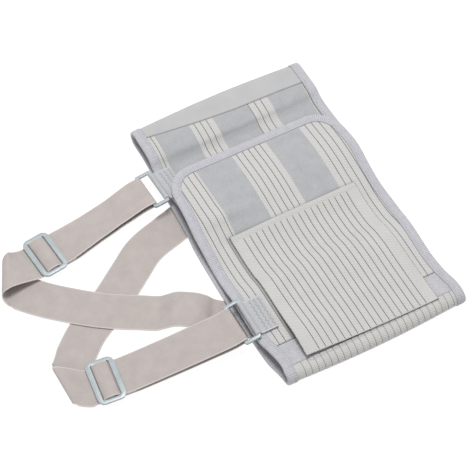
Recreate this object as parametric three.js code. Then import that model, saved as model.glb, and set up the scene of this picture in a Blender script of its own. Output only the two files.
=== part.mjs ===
// Rib belt with two shoulder straps, lying folded flat on a table with its front side up.
// Millimetres. X runs across the belt from the edge that carries the straps, Y along the
// folded belt from the near fold to the far fold, and Z up from the table.

import * as THREE from 'three';
import { mergeVertices } from 'three/addons/utils/BufferGeometryUtils.js';

const { degToRad, lerp } = THREE.MathUtils;

// Belt
const beltWidth = 250;
const foldedLength = 421;
const clothThickness = 2.4;
const cornerRadius = 38;
const hollowHeight = 14;
const foldBulge = 4.5;
const clearance = 0.3;

// Edge binding
const bindingWidth = 13;
const bindingThickness = 0.9;
const bindingJoint = 0.6;

// Tension panel
const tensionWidth = 178;
const tensionThickness = 1.8;
const tensionLift = 5.5;

// Straps
const strapWidth = 50;
const strapThickness = 1.6;
const strapReach = 236;
const foldRadius = 8;
const humpHeight = 11;
const tailLength = 30;

// Tabs and rings
const tabThickness = 1.4;
const tabLength = 27;
const tabGap = 0.5;
const tabWedge = 1.8;
const ringWidth = 22;
const ringBar = 3.6;
const ringEndBar = 4;
const ringThickness = 3;
const ringCorner = 3;

// Three-bar sliders
const sliderWidth = 36;
const sliderSideBar = 5.5;
const sliderCentreBar = 3;
const sliderEndBar = 5;
const sliderThickness = 3;
const sliderCorner = 9;
const sliderHeight = 10;
const windowPlay = 1;
const windowCorner = 2;

// Fineness of the facets
const longestStep = 18;
const widestTurn = degToRad(19);
const shortestStep = 1;
const cornerSteps = 6;
const panelColumns = 4;
const tensionColumns = 5;
const edgeRounding = 0.4;

// Sizes that follow from those above
const halfCloth = clothThickness / 2;
const panelInset = bindingThickness + clearance;
const restHeight = halfCloth + panelInset;
const layerPitch = 2 * restHeight + clearance;
const strapPitch = strapThickness + clearance;
const windowLength = strapWidth + 2 * windowPlay;

// Each row is a place along one layer of the folded band. along is a share of foldedLength and
// over counts the layers below. strap and free are the air below the layer at its two edges, as
// shares of hollowHeight. under is 1 where a strap lies below the strap edge and less where the
// edge comes down beside it. pull is how far the strap edge stands out towards the straps and
// drawn how far the free edge is drawn in towards them, as shares of beltWidth.
const innerRows = [
  { along: 0.577, over: 1, strap: 0.75, free: 0.75, under: 0, pull: 0, drawn: 0.016 },
  { along: 0.622, over: 1, strap: 0.95, free: 0.95, under: 0, pull: 0, drawn: 0.016 },
  { along: 0.665, over: 1, strap: 0.95, free: 0.95, under: 0, pull: 0, drawn: 0.016 },
  { along: 0.703, over: 1, strap: 0.70, free: 0.70, under: 0, pull: 0, drawn: 0.016 },
  { along: 0.765, over: 1, strap: 0.42, free: 0.45, under: 0, pull: 0, drawn: 0.016 },
  { along: 0.829, over: 1, strap: 0.14, free: 0.45, under: 0, pull: 0, drawn: 0.016 },
  { along: 0.851, over: 1, strap: 0.42, free: 0.62, under: 0, pull: 0, drawn: 0.016 },
  { along: 0.869, over: 1, strap: 0.84, free: 0.90, under: 0, pull: 0, drawn: 0.016 },
  { along: 0.903, over: 1, strap: 1.08, free: 1.00, under: 0, pull: 0, drawn: 0.016 },
  { along: 0.941, over: 1, strap: 1.05, free: 0.98, under: 0, pull: 0, drawn: 0.016 },
];
const backRows = [
  { along: 0.955, over: 0, strap: 0, free: 0, under: 0, pull: 0, drawn: 0.016 },
  { along: 0.914, over: 0, strap: 0, free: 0, under: 0, pull: 0, drawn: 0.016 },
  { along: 0.855, over: 0, strap: 0, free: 0, under: 0, pull: 0.004, drawn: 0.016 },
  { along: 0.796, over: 0, strap: 0, free: 0, under: 0.3, pull: 0.008, drawn: 0.018 },
  { along: 0.748, over: 0, strap: 0, free: 0, under: 1, pull: 0.014, drawn: 0.022 },
  { along: 0.594, over: 0, strap: 0, free: 0, under: 1, pull: 0.040, drawn: 0.040 },
  { along: 0.542, over: 0, strap: 0, free: 0, under: 1, pull: 0.052, drawn: 0.048 },
  { along: 0.409, over: 0, strap: 0, free: 0, under: 1, pull: 0.060, drawn: 0.050 },
  { along: 0.361, over: 0, strap: 0, free: 0, under: 1, pull: 0.060, drawn: 0.050 },
  { along: 0.147, over: 0, strap: 0, free: 0, under: 1, pull: 0.048, drawn: 0.042 },
  { along: 0.095, over: 0, strap: 0, free: 0, under: 0, pull: 0.032, drawn: 0.034 },
  { along: 0.052, over: 0, strap: 0, free: 0, under: 0, pull: 0.012, drawn: 0.018 },
];
const outerRows = [
  { along: 0.052, over: 1, strap: 0.95, free: 0.95, under: 0, pull: 0, drawn: 0.018 },
  { along: 0.107, over: 1, strap: 0.93, free: 0.93, under: 0, pull: 0.014, drawn: 0.034 },
  { along: 0.143, over: 1, strap: 0.90, free: 0.95, under: 0, pull: 0.028, drawn: 0.040 },
  { along: 0.178, over: 1, strap: 0.86, free: 0.98, under: 0, pull: 0.032, drawn: 0.042 },
  { along: 0.266, over: 1, strap: 0.86, free: 1.12, under: 0, pull: 0.030, drawn: 0.038 },
  { along: 0.314, over: 1, strap: 0.84, free: 0.90, under: 0, pull: 0.029, drawn: 0.032 },
  { along: 0.356, over: 1, strap: 0.50, free: 0.50, under: 0, pull: 0.028, drawn: 0.026 },
  { along: 0.399, over: 1, strap: 0.38, free: 0.38, under: 0, pull: 0.027, drawn: 0.024 },
  { along: 0.442, over: 1, strap: 0.42, free: 0.42, under: 0, pull: 0.025, drawn: 0.027 },
  { along: 0.485, over: 1, strap: 0.70, free: 0.70, under: 0, pull: 0.024, drawn: 0.032 },
  { along: 0.518, over: 1, strap: 0.90, free: 0.90, under: 0, pull: 0.023, drawn: 0.031 },
  { along: 0.551, over: 1, strap: 1.05, free: 1.05, under: 0, pull: 0.022, drawn: 0.028 },
  { along: 0.584, over: 2, strap: 0.88, free: 0.88, under: 0, pull: 0.018, drawn: 0.024 },
  { along: 0.627, over: 2, strap: 1.02, free: 1.02, under: 0, pull: 0.012, drawn: 0.022 },
  { along: 0.675, over: 2, strap: 1.00, free: 1.00, under: 0, pull: 0.006, drawn: 0.027 },
  { along: 0.722, over: 2, strap: 0.90, free: 0.82, under: 0, pull: 0.002, drawn: 0.032 },
  { along: 0.765, over: 2, strap: 0.82, free: 0.66, under: 0, pull: 0, drawn: 0.032 },
  { along: 0.789, over: 2, strap: 0.78, free: 0.62, under: 0, pull: 0, drawn: 0.032 },
];

// Half turns of the cloth and the straps, in degrees from level
const foldAngles = [90, 60, 30, 0, -30, -60, -90];

// Seams across the band, as shares of foldedLength on the layer that they cross
const seamPlaces = {
  farOnTop: 0.922,
  farBelow: 0.808,
  sideBelow: 0.095,
  patchStart: 0.038,
  patchEnd: 0.090,
};

// The tension panel's ends along the band and the bump where it stands off, as shares of
// foldedLength, and its near edge's place across the band, as a share of beltWidth
const tensionPlace = { start: 0.030, end: 0.506, bump: 0.107, spread: 0.085, across: 0.136 };

// Tabs: along is a share of foldedLength, loop the place of the ring bar across the belt as a
// share of bindingWidth, and pitch how far the ring tips down towards its strap, in degrees.
const tabPlaces = {
  far: { layer: 'inner', along: 0.770, loop: -0.56, pitch: 7 },
  near: { layer: 'outer', along: 0.226, loop: 0.32, pitch: 11 },
};

// Sliders: reach is a share of strapReach and along of foldedLength. heading is the way the
// strap runs through towards its ring, and pitch how far that end stands up, in degrees. Between
// the two the strap rolls by roll degrees and sags by a share of humpHeight.
const sliderPlaces = {
  far: { reach: 0.742, along: 0.7245, heading: 5.3, pitch: 3, roll: 7, sag: 0.14 },
  near: { reach: 0.799, along: 0.2577, heading: -6.8, pitch: 3, roll: 0, sag: 0 },
};

// Lower runs of the straps from their sewn ends to their folds. reach is a share of strapReach
// away from the belt, along a share of foldedLength, heading the strap's direction in degrees,
// layer the straps below, rise a share of humpHeight, and roll how far the strap's left edge
// stands above its right one, in degrees.
const lowerRuns = {
  far: [
    { reach: -0.191, along: 0.1995, heading: 152, layer: 0, rise: 0, roll: 0 },
    { reach: 0.051, along: 0.2708, heading: 150, layer: 0, rise: 0, roll: 0 },
    { reach: 0.120, along: 0.2970, heading: 149, layer: 0, rise: 0, roll: 0 },
    { reach: 0.150, along: 0.3085, heading: 148, layer: 0, rise: 0.30, roll: -3 },
    { reach: 0.190, along: 0.3235, heading: 148, layer: 0, rise: 0.85, roll: -7 },
    { reach: 0.245, along: 0.3450, heading: 147, layer: 0, rise: 1, roll: -8 },
    { reach: 0.320, along: 0.3740, heading: 146, layer: 0, rise: 0.85, roll: -6 },
    { reach: 0.390, along: 0.4000, heading: 146, layer: 0.5, rise: 0.45, roll: -2 },
    { reach: 0.460, along: 0.4235, heading: 146, layer: 1, rise: 0.12, roll: 0 },
    { reach: 0.561, along: 0.4565, heading: 145, layer: 1, rise: 0.02, roll: 0 },
    { reach: 0.658, along: 0.4948, heading: 143, layer: 1, rise: 0.02, roll: 0 },
    { reach: 0.768, along: 0.5468, heading: 136, layer: 1, rise: 0, roll: 0 },
    { reach: 0.862, along: 0.5975, heading: 130, layer: 0.5, rise: 0, roll: 0 },
    { reach: 0.934, along: 0.6450, heading: 126, layer: 0, rise: 0, roll: 0 },
  ],
  near: [
    { reach: -0.191, along: 0.6865, heading: 195, layer: 0, rise: 0, roll: 0 },
    { reach: 0.124, along: 0.6385, heading: 197, layer: 0, rise: 0, roll: 0 },
    { reach: 0.200, along: 0.6270, heading: 201, layer: 0, rise: 0, roll: 0 },
    { reach: 0.280, along: 0.6085, heading: 208, layer: 0, rise: 0, roll: 0 },
    { reach: 0.375, along: 0.5715, heading: 214, layer: 0, rise: 0, roll: 0 },
    { reach: 0.545, along: 0.5048, heading: 214, layer: 0, rise: 0, roll: 0 },
    { reach: 0.656, along: 0.4677, heading: 213, layer: 0, rise: 0, roll: 0 },
    { reach: 0.753, along: 0.4354, heading: 216, layer: 0, rise: 0, roll: 0 },
    { reach: 0.865, along: 0.3872, heading: 223, layer: 0, rise: 0, roll: 0 },
  ],
};

// Folds of the straps: reach and along are where the fold leaves the table, axis is the bearing
// of the fold line, skew how far the strap is from square to it, both in degrees, turn the side
// that it folds to, and radius a share of foldRadius.
const strapFolds = {
  far: { reach: 0.983, along: 0.6865, axis: 65, skew: 30, turn: -1, radius: 1 },
  near: { reach: 0.972, along: 0.3233, axis: 277.5, skew: 36.5, turn: 1, radius: 0.65 },
};
const foldSteps = 8;

const materials = {
  loopCloth: new THREE.MeshStandardMaterial({ color: 0xb9babd, roughness: 0.95, metalness: 0 }),
  ribCloth: new THREE.MeshStandardMaterial({ color: 0xd2d2cc, roughness: 0.92, metalness: 0 }),
  plainCloth: new THREE.MeshStandardMaterial({ color: 0xcbcbcb, roughness: 0.9, metalness: 0 }),
  binding: new THREE.MeshStandardMaterial({ color: 0xc9c8cf, roughness: 0.9, metalness: 0 }),
  strap: new THREE.MeshStandardMaterial({ color: 0xbeb4b0, roughness: 0.88, metalness: 0 }),
  tab: new THREE.MeshStandardMaterial({ color: 0xc4c6c6, roughness: 0.88, metalness: 0 }),
  plastic: new THREE.MeshStandardMaterial({ color: 0xc3cccd, roughness: 0.35, metalness: 0 }),
};

// Band: the folded profile

function edgeHeight(row, side) {
  const straps = side === 'strap' ? row.under * strapPitch : 0;
  return restHeight + straps + row.over * layerPitch + row[side] * hollowHeight;
}

function edgePoint(row, side) {
  const x = side === 'strap' ? -row.pull * beltWidth : (1 - row.drawn) * beltWidth;
  return new THREE.Vector3(x, row.along * foldedLength, edgeHeight(row, side));
}

function foldArc(upper, lower, direction) {
  const radius = (upper.z - lower.z) / 2;
  const tip = direction > 0 ? foldedLength - restHeight : restHeight;
  return foldAngles.map((angle) => new THREE.Vector3(
    (upper.x + lower.x) / 2,
    tip - direction * radius * (1 - Math.cos(degToRad(angle))),
    (upper.z + lower.z) / 2 + radius * Math.sin(degToRad(angle)),
  ));
}

function edgeCurve(side) {
  const inner = innerRows.map((row) => edgePoint(row, side));
  const back = backRows.map((row) => edgePoint(row, side));
  const outer = outerRows.map((row) => edgePoint(row, side));
  const farFold = foldArc(inner.at(-1), back[0], 1);
  const nearFold = foldArc(outer[0], back.at(-1), -1).reverse();
  return new THREE.CatmullRomCurve3([...inner, ...farFold, ...back, ...nearFold, ...outer]);
}

const strapEdge = edgeCurve('strap');
const freeEdge = edgeCurve('free');

// Distance along the middle of the band, measured from its hidden end
const samples = 1600;
const sampled = Array.from({ length: samples + 1 }, (_, i) => {
  const u = i / samples;
  return strapEdge.getPoint(u).lerp(freeEdge.getPoint(u), 0.5);
});
const distances = [0];
for (let i = 1; i <= samples; i += 1) {
  distances.push(distances[i - 1] + sampled[i].distanceTo(sampled[i - 1]));
}
const bandLength = distances[samples];

const knots = innerRows.length + backRows.length + outerRows.length + 2 * foldAngles.length - 1;
const foldMiddle = Math.floor(foldAngles.length / 2);
const farKnot = innerRows.length + foldMiddle;
const nearKnot = farKnot + foldAngles.length + backRows.length;
const layerRanges = {
  inner: [0, farKnot / knots],
  back: [farKnot / knots, nearKnot / knots],
  outer: [nearKnot / knots, 1],
};

function distanceOf(layer, along) {
  const [first, last] = layerRanges[layer].map((u) => Math.round(u * samples));
  const y = along * foldedLength;
  for (let i = first; i < last; i += 1) {
    const from = sampled[i].y;
    const to = sampled[i + 1].y;
    if ((from - y) * (to - y) <= 0 && from !== to) {
      return lerp(distances[i], distances[i + 1], (y - from) / (to - from));
    }
  }
  throw new Error(`no place at ${along} on the ${layer} layer`);
}

function parameterOf(distance) {
  let low = 0;
  let high = samples;
  while (high - low > 1) {
    const middle = (low + high) >> 1;
    if (distances[middle] > distance) {
      high = middle;
    } else {
      low = middle;
    }
  }
  const share = (distance - distances[low]) / (distances[high] - distances[low]);
  return THREE.MathUtils.clamp((low + share) / samples, 0, 1);
}

// Frame on the band: distance along it, x across it from the strap edge
function bandFrame(distance, x) {
  const u = parameterOf(distance);
  const step = 1e-4;
  const before = Math.max(u - step, 0);
  const after = Math.min(u + step, 1);
  const share = x / beltWidth;
  const from = strapEdge.getPoint(before).lerp(freeEdge.getPoint(before), share);
  const to = strapEdge.getPoint(after).lerp(freeEdge.getPoint(after), share);
  const along = to.sub(from).normalize();
  const across = freeEdge.getPoint(u).sub(strapEdge.getPoint(u)).normalize();
  const normal = new THREE.Vector3().crossVectors(across, along).normalize();
  const origin = strapEdge.getPoint(u).lerp(freeEdge.getPoint(u), share);
  return { origin, across, along: new THREE.Vector3().crossVectors(normal, across), normal };
}

// The two folds are fuller in the middle of the belt than at its edges
function onBand(distance, x, offset) {
  const { origin, normal } = bandFrame(distance, x);
  const fullness = foldBulge * normal.y ** 2 * Math.sin((Math.PI * x) / beltWidth);
  return origin.addScaledVector(normal, offset + fullness);
}

const seams = {
  farTop: distanceOf('inner', seamPlaces.farOnTop),
  farBelow: distanceOf('back', seamPlaces.farBelow),
  side: distanceOf('back', seamPlaces.sideBelow),
  patchStart: distanceOf('outer', seamPlaces.patchStart),
  patchEnd: distanceOf('outer', seamPlaces.patchEnd),
  tensionStart: distanceOf('outer', tensionPlace.start),
  tensionEnd: distanceOf('outer', tensionPlace.end),
};

// Stations: places along a curve, close enough together for its bends

function turnBetween(tangentAt, from, to) {
  return tangentAt(from).angleTo(tangentAt(to));
}

function splitSpan(tangentAt, from, to) {
  const bends = turnBetween(tangentAt, from, to) > widestTurn;
  const isLong = to - from > longestStep;
  if ((bends || isLong) && to - from > shortestStep) {
    const middle = (from + to) / 2;
    return [...splitSpan(tangentAt, from, middle), ...splitSpan(tangentAt, middle, to)];
  }
  return [from];
}

function stationsThrough(tangentAt, marks) {
  const sorted = [...new Set(marks)].sort((a, b) => a - b);
  const spans = sorted.slice(1).map((to, i) => splitSpan(tangentAt, sorted[i], to));
  return [...spans.flat(), sorted.at(-1)];
}

const bandTangent = (distance) => bandFrame(distance, beltWidth / 2).along;
const seamGap = clearance / 2;
const seamMarks = [seams.farTop, seams.farBelow, seams.side, seams.patchStart, seams.patchEnd];

// The places of the rounded corners' facets, from the straight edge to the end of the cloth
const panelRadius = cornerRadius - panelInset;
const cornerReaches = Array.from({ length: cornerSteps + 1 }, (_, i) => (
  panelRadius * Math.sin((i / cornerSteps) * (Math.PI / 2))
));
const bandStations = stationsThrough(bandTangent, [
  0,
  ...cornerReaches.map((reach) => cornerRadius - reach),
  ...seamMarks.flatMap((mark) => [mark - seamGap, mark + seamGap]),
  seams.tensionStart,
  seams.tensionEnd,
  ...cornerReaches.map((reach) => bandLength - cornerRadius + reach),
  bandLength,
]);

function stationsBetween(from, to) {
  return bandStations.filter((station) => station > from - 1e-6 && station < to + 1e-6);
}

// Closed solids

function signedVolume(geometry) {
  const { position } = geometry.attributes;
  const corners = [0, 1, 2].map(() => new THREE.Vector3());
  let volume = 0;
  for (let i = 0; i < geometry.index.count; i += 3) {
    corners.forEach((corner, k) => corner.fromBufferAttribute(position, geometry.index.getX(i + k)));
    volume += corners[0].dot(corners[1].clone().cross(corners[2])) / 6;
  }
  return volume;
}

function finish(geometry) {
  geometry.deleteAttribute('normal');
  geometry.deleteAttribute('uv');
  const merged = mergeVertices(geometry);
  if (signedVolume(merged) < 0) {
    merged.index.array.reverse();
  }
  merged.computeVertexNormals();
  return merged;
}

function moveVertices(geometry, pointAt) {
  const { position } = geometry.attributes;
  for (let i = 0; i < position.count; i += 1) {
    const point = pointAt(position.getX(i), position.getY(i), position.getZ(i));
    position.setXYZ(i, point.x, point.y, point.z);
  }
  return finish(geometry);
}

// A plate: share runs 0 to 1 across it, station along it and face -1 to 1 through it
function plate(columns, stations, pointAt) {
  const rows = stations.length - 1;
  const box = new THREE.BoxGeometry(1, 1, 1, columns, rows, 1);
  return moveVertices(box, (x, y, z) => (
    pointAt(x + 0.5, stations[Math.round((y + 0.5) * rows)], 2 * z)
  ));
}

// A bar: a flat outline carried through its stations
function bar(outline, stations, pointAt) {
  const steps = stations.length - 1;
  const run = new THREE.ExtrudeGeometry(outline, { steps, depth: steps, bevelEnabled: false });
  return moveVertices(run, (x, y, z) => pointAt(x, y, stations[Math.round(z)]));
}

// Band pieces: plates whose ends at the two free ends of the band are rounded

function cornerInset(distance) {
  const fromEnd = Math.min(distance, bandLength - distance) - panelInset;
  const reach = Math.max(panelRadius - fromEnd, 0);
  return panelRadius - Math.sqrt(Math.max(panelRadius * panelRadius - reach * reach, 0));
}

function bandPiece(from, to) {
  return plate(panelColumns, stationsBetween(from, to), (share, distance, face) => {
    const inset = panelInset + cornerInset(distance);
    return onBand(distance, lerp(inset, beltWidth - inset, share), face * halfCloth);
  });
}

// Edge binding: one folded tape round the whole outline

function bindingSection() {
  const inside = halfCloth + clearance;
  const section = new THREE.Shape();
  section.moveTo(0, -restHeight);
  section.lineTo(bindingWidth, -restHeight);
  section.lineTo(bindingWidth, -inside);
  section.lineTo(bindingThickness, -inside);
  section.lineTo(bindingThickness, inside);
  section.lineTo(bindingWidth, inside);
  section.lineTo(bindingWidth, restHeight);
  section.lineTo(0, restHeight);
  section.closePath();
  return section;
}

function bindingCorner(distance, x, firstAngle) {
  return Array.from({ length: cornerSteps + 1 }, (_, i) => {
    const angle = degToRad(firstAngle + (i / cornerSteps) * 90);
    return {
      distance: distance + cornerRadius * Math.cos(angle),
      x: x + cornerRadius * Math.sin(angle),
      inwardDistance: -Math.cos(angle),
      inwardX: -Math.sin(angle),
    };
  });
}

function bindingRoute() {
  const first = cornerRadius;
  const last = bandLength - cornerRadius;
  const right = beltWidth - cornerRadius;
  const joint = (beltWidth - bindingJoint) / 2;
  const between = bandStations.filter((station) => station > first + 1e-6 && station < last - 1e-6);
  const strapSide = between.map((distance) => ({ distance, x: 0, inwardDistance: 0, inwardX: 1 }));
  const freeSide = between.map((distance) => (
    { distance, x: beltWidth, inwardDistance: 0, inwardX: -1 }
  ));
  return [
    { distance: 0, x: joint, inwardDistance: 1, inwardX: 0 },
    ...bindingCorner(first, cornerRadius, 180),
    ...strapSide,
    ...bindingCorner(last, cornerRadius, 270),
    ...bindingCorner(last, right, 0),
    ...freeSide.reverse(),
    ...bindingCorner(first, right, 90),
    { distance: 0, x: beltWidth - joint, inwardDistance: 1, inwardX: 0 },
  ];
}

function edgeBinding() {
  return bar(bindingSection(), bindingRoute(), (depth, offset, place) => (
    onBand(place.distance + place.inwardDistance * depth, place.x + place.inwardX * depth, offset)
  ));
}

// Tension panel: lies straight on the outer layer, its strap edge standing off near the fold

function tensionPanel() {
  const start = tensionPlace.across * beltWidth;
  const seat = halfCloth + clearance;
  const stations = stationsBetween(seams.tensionStart, seams.tensionEnd);
  return plate(tensionColumns, stations, (share, distance, face) => {
    const pull = strapEdge.getPoint(parameterOf(distance)).x;
    const y = bandFrame(distance, start).origin.y / foldedLength;
    const bump = Math.exp(-(((y - tensionPlace.bump) / tensionPlace.spread) ** 2));
    const lift = tensionLift * bump * (1 - share) ** 2;
    const offset = seat + lift + (face + 1) * tensionThickness / 2;
    return onBand(distance, start + tensionWidth * share - pull, offset);
  });
}

// Tabs: webbing folded round a ring bar and sewn on the band

const loopInside = Math.hypot(ringBar, ringThickness) / 2 + clearance;
const loopOutside = loopInside + tabThickness;
const loopHeight = restHeight + tabGap + loopOutside;

// A tab is flat, so it lies on the chord of the band below its two side edges
function tabFrame({ layer, along, loop }) {
  const [start, end] = [-0.5, 0.5].map((share) => (
    bandFrame(distanceOf(layer, along) + share * strapWidth, loop * bindingWidth)
  ));
  const across = start.across.clone().add(end.across).normalize();
  const normal = across.clone().cross(end.origin.clone().sub(start.origin)).normalize();
  const origin = start.origin.clone().lerp(end.origin, 0.5).addScaledVector(normal, loopHeight);
  return { origin, across, along: normal.clone().cross(across), normal };
}

function tabSection() {
  const top = 2 * tabThickness - loopOutside;
  const shoulder = loopOutside + tabWedge;
  const reach = Math.hypot(shoulder, top);
  const tangent = Math.atan2(top, shoulder) + Math.acos(loopOutside / reach);
  const section = new THREE.Shape();
  section.moveTo(0, -loopOutside);
  section.lineTo(tabLength, -loopOutside);
  section.lineTo(tabLength, top);
  section.lineTo(shoulder, top);
  section.absarc(0, 0, loopOutside, tangent, 1.5 * Math.PI, false);
  const hole = new THREE.Path();
  hole.absarc(0, 0, loopInside, 0, 2 * Math.PI, true);
  section.holes.push(hole);
  return section;
}

function tab() {
  const length = strapWidth;
  const flat = new THREE.ExtrudeGeometry(tabSection(), {
    depth: length,
    bevelEnabled: false,
    curveSegments: 10,
  });
  return moveVertices(flat, (x, y, z) => new THREE.Vector3(x, length / 2 - z, y));
}

// Rings and sliders: flat moulded frames, drawn with X along the strap and Y across it

function roundedOutline(outline, width, length, corner) {
  const x = width / 2 - corner;
  const y = length / 2 - corner;
  outline.absarc(x, y, corner, 0, Math.PI / 2, false);
  outline.absarc(-x, y, corner, Math.PI / 2, Math.PI, false);
  outline.absarc(-x, -y, corner, Math.PI, 1.5 * Math.PI, false);
  outline.absarc(x, -y, corner, 1.5 * Math.PI, 2 * Math.PI, false);
  outline.closePath();
  return outline;
}

function windowAt(x, width) {
  const corners = roundedOutline(new THREE.Path(), width, windowLength, windowCorner).getPoints(2);
  return new THREE.Path(corners.map((point) => new THREE.Vector2(point.x + x, point.y)).reverse());
}

function moulding(outline, windows, thickness) {
  outline.holes.push(...windows);
  const depth = thickness - 2 * edgeRounding;
  const flat = new THREE.ExtrudeGeometry(outline, {
    depth,
    bevelThickness: edgeRounding,
    bevelSize: edgeRounding,
    bevelOffset: -edgeRounding,
    bevelSegments: 1,
    curveSegments: 4,
  });
  flat.translate(0, 0, -depth / 2);
  return finish(flat);
}

function ring() {
  const length = windowLength + 2 * ringEndBar;
  const outline = roundedOutline(new THREE.Shape(), ringWidth, length, ringCorner);
  return moulding(outline, [windowAt(0, ringWidth - 2 * ringBar)], ringThickness);
}

const sliderWindow = (sliderWidth - sliderCentreBar) / 2 - sliderSideBar;

function slider() {
  const length = windowLength + 2 * sliderEndBar;
  const outline = roundedOutline(new THREE.Shape(), sliderWidth, length, sliderCorner);
  const offset = (sliderCentreBar + sliderWindow) / 2;
  const windows = [windowAt(-offset, sliderWindow), windowAt(offset, sliderWindow)];
  return moulding(outline, windows, sliderThickness);
}

function ringFrame(place) {
  const seat = tabFrame(place);
  const pitch = degToRad(place.pitch);
  const run = seat.across.clone().multiplyScalar(Math.cos(pitch));
  run.addScaledVector(seat.normal, Math.sin(pitch));
  const normal = new THREE.Vector3().crossVectors(run, seat.along);
  const origin = seat.origin.clone().addScaledVector(run, -(ringWidth - ringBar) / 2);
  return { origin, across: run, along: seat.along, normal };
}

function sliderFrame({ reach, along, heading, pitch }) {
  const turned = new THREE.Matrix4().makeRotationZ(degToRad(heading));
  turned.multiply(new THREE.Matrix4().makeRotationY(-degToRad(pitch)));
  const axes = [new THREE.Vector3(), new THREE.Vector3(), new THREE.Vector3()];
  turned.extractBasis(...axes);
  const origin = new THREE.Vector3(-reach * strapReach, along * foldedLength, sliderHeight);
  return { origin, across: axes[0], along: axes[1], normal: axes[2] };
}

function inFrame(frame, x, z) {
  return frame.origin.clone().addScaledVector(frame.across, x).addScaledVector(frame.normal, z);
}

// Straps: a ribbon carried through points that each state the direction across the strap

function bearing(degrees) {
  return new THREE.Vector3(Math.cos(degToRad(degrees)), Math.sin(degToRad(degrees)), 0);
}

function rolled(across, roll) {
  return across.clone().setZ(across.z + Math.tan(degToRad(roll)));
}

function lowerRun(rows) {
  return rows.map(({ reach, along, heading, layer, rise, roll }) => ({
    point: new THREE.Vector3(
      -reach * strapReach,
      along * foldedLength,
      strapThickness / 2 + layer * strapPitch + rise * humpHeight,
    ),
    across: rolled(bearing(heading + 90), roll),
  }));
}

// A skewed fold is part of a tube round the fold line, so the sections there run along it
function foldPoints({ reach, along, axis, skew, turn, radius }) {
  const start = new THREE.Vector3(-reach * strapReach, along * foldedLength, strapThickness / 2);
  const line = bearing(axis);
  const out = bearing(axis - turn * 90);
  const bend = radius * foldRadius;
  const drift = bend * Math.tan(degToRad(skew));
  return Array.from({ length: foldSteps + 1 }, (_, i) => {
    const angle = (i / foldSteps) * Math.PI;
    const point = start.clone()
      .addScaledVector(line, drift * angle)
      .addScaledVector(out, bend * Math.sin(angle));
    point.z += bend * (1 - Math.cos(angle));
    return { point, across: line.clone().multiplyScalar(turn) };
  });
}

// Heights of the strap's layers at the slider, from its mid plane
const level = {
  run: -(sliderThickness + strapThickness) / 2 - clearance,
  tail: -(sliderThickness + strapThickness) / 2 - clearance - strapPitch,
  back: -(sliderThickness + strapThickness) / 2 - clearance - 2 * strapPitch,
};
const wrapRadius = Math.hypot(sliderCentreBar, sliderThickness) / 2 + clearance + strapThickness / 2;
const crest = wrapRadius + strapPitch;
const frameEdge = sliderWidth / 2;
const windowEdge = frameEdge - sliderSideBar;
const ringWrap = Math.hypot(ringBar, ringThickness) / 2 + clearance + strapThickness / 2;
const ringOuterBar = -(ringWidth - ringBar) / 2;

function throughSlider(frame) {
  const path = [
    [-frameEdge * 1.22, level.run],
    [-windowEdge * 0.92, level.run],
    [-windowEdge * 0.5, (level.run + crest) / 2],
    [-wrapRadius * 0.75, crest - wrapRadius * 0.12],
    [0, crest],
    [wrapRadius * 0.75, crest - wrapRadius * 0.12],
    [windowEdge * 0.5, (level.run + crest) / 2],
    [windowEdge * 0.92, level.run],
    [frameEdge, level.run],
    [frameEdge * 1.45, level.run],
  ];
  return path.map(([x, z]) => ({ point: inFrame(frame, x, z), across: frame.along.clone().negate() }));
}

function backToSlider(frame) {
  const path = [
    [frameEdge * 1.9, level.back],
    [frameEdge * 1.22, level.back],
    [windowEdge, level.back],
    [windowEdge * 0.5, level.back],
    [wrapRadius * 0.5, level.back + wrapRadius * 0.34],
    [-wrapRadius * 0.75, -wrapRadius * 0.85],
    [-wrapRadius, 0],
    [-wrapRadius * 0.7, wrapRadius * 0.7],
    [0, wrapRadius],
    [wrapRadius * 0.7, wrapRadius * 0.7],
    [wrapRadius, 0],
    [wrapRadius * 1.2, -wrapRadius * 0.65],
    [windowEdge * 0.54, level.tail + wrapRadius * 0.12],
    [windowEdge, level.tail],
    [frameEdge, level.tail],
    [tailLength, level.tail],
  ];
  return path.map(([x, z]) => ({ point: inFrame(frame, x, z), across: frame.along.clone().negate() }));
}

function roundRing(frame) {
  const straight = [ringWidth * 0.55, ringWidth * 0.18];
  const arc = foldAngles.map((degrees) => [
    ringOuterBar + ringWrap * Math.cos(degToRad(degrees)),
    ringWrap * Math.sin(degToRad(degrees)),
  ]);
  const path = [
    ...straight.map((x) => [ringOuterBar - x, ringWrap]),
    ...arc,
    ...straight.reverse().map((x) => [ringOuterBar - x, -ringWrap]),
  ];
  return path.map(([x, z]) => ({ point: inFrame(frame, x, z), across: frame.along.clone().negate() }));
}

function between(from, to, { roll, sag }) {
  return [1 / 3, 2 / 3].map((share) => {
    const point = from.point.clone().lerp(to.point, share);
    point.z -= sag * humpHeight;
    return { point, across: rolled(from.across.clone().lerp(to.across, share), roll) };
  });
}

function strapRoute(side) {
  const slack = sliderPlaces[side];
  const sliderSeat = sliderFrame(slack);
  const ringSeat = ringFrame(tabPlaces[side]);
  const out = throughSlider(sliderSeat);
  const round = roundRing(ringSeat);
  const back = backToSlider(sliderSeat);
  return [
    ...lowerRun(lowerRuns[side]),
    ...foldPoints(strapFolds[side]),
    ...out,
    ...between(out.at(-1), round[0], slack),
    ...round,
    ...between(round.at(-1), back[0], slack),
    ...back,
  ];
}

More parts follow.
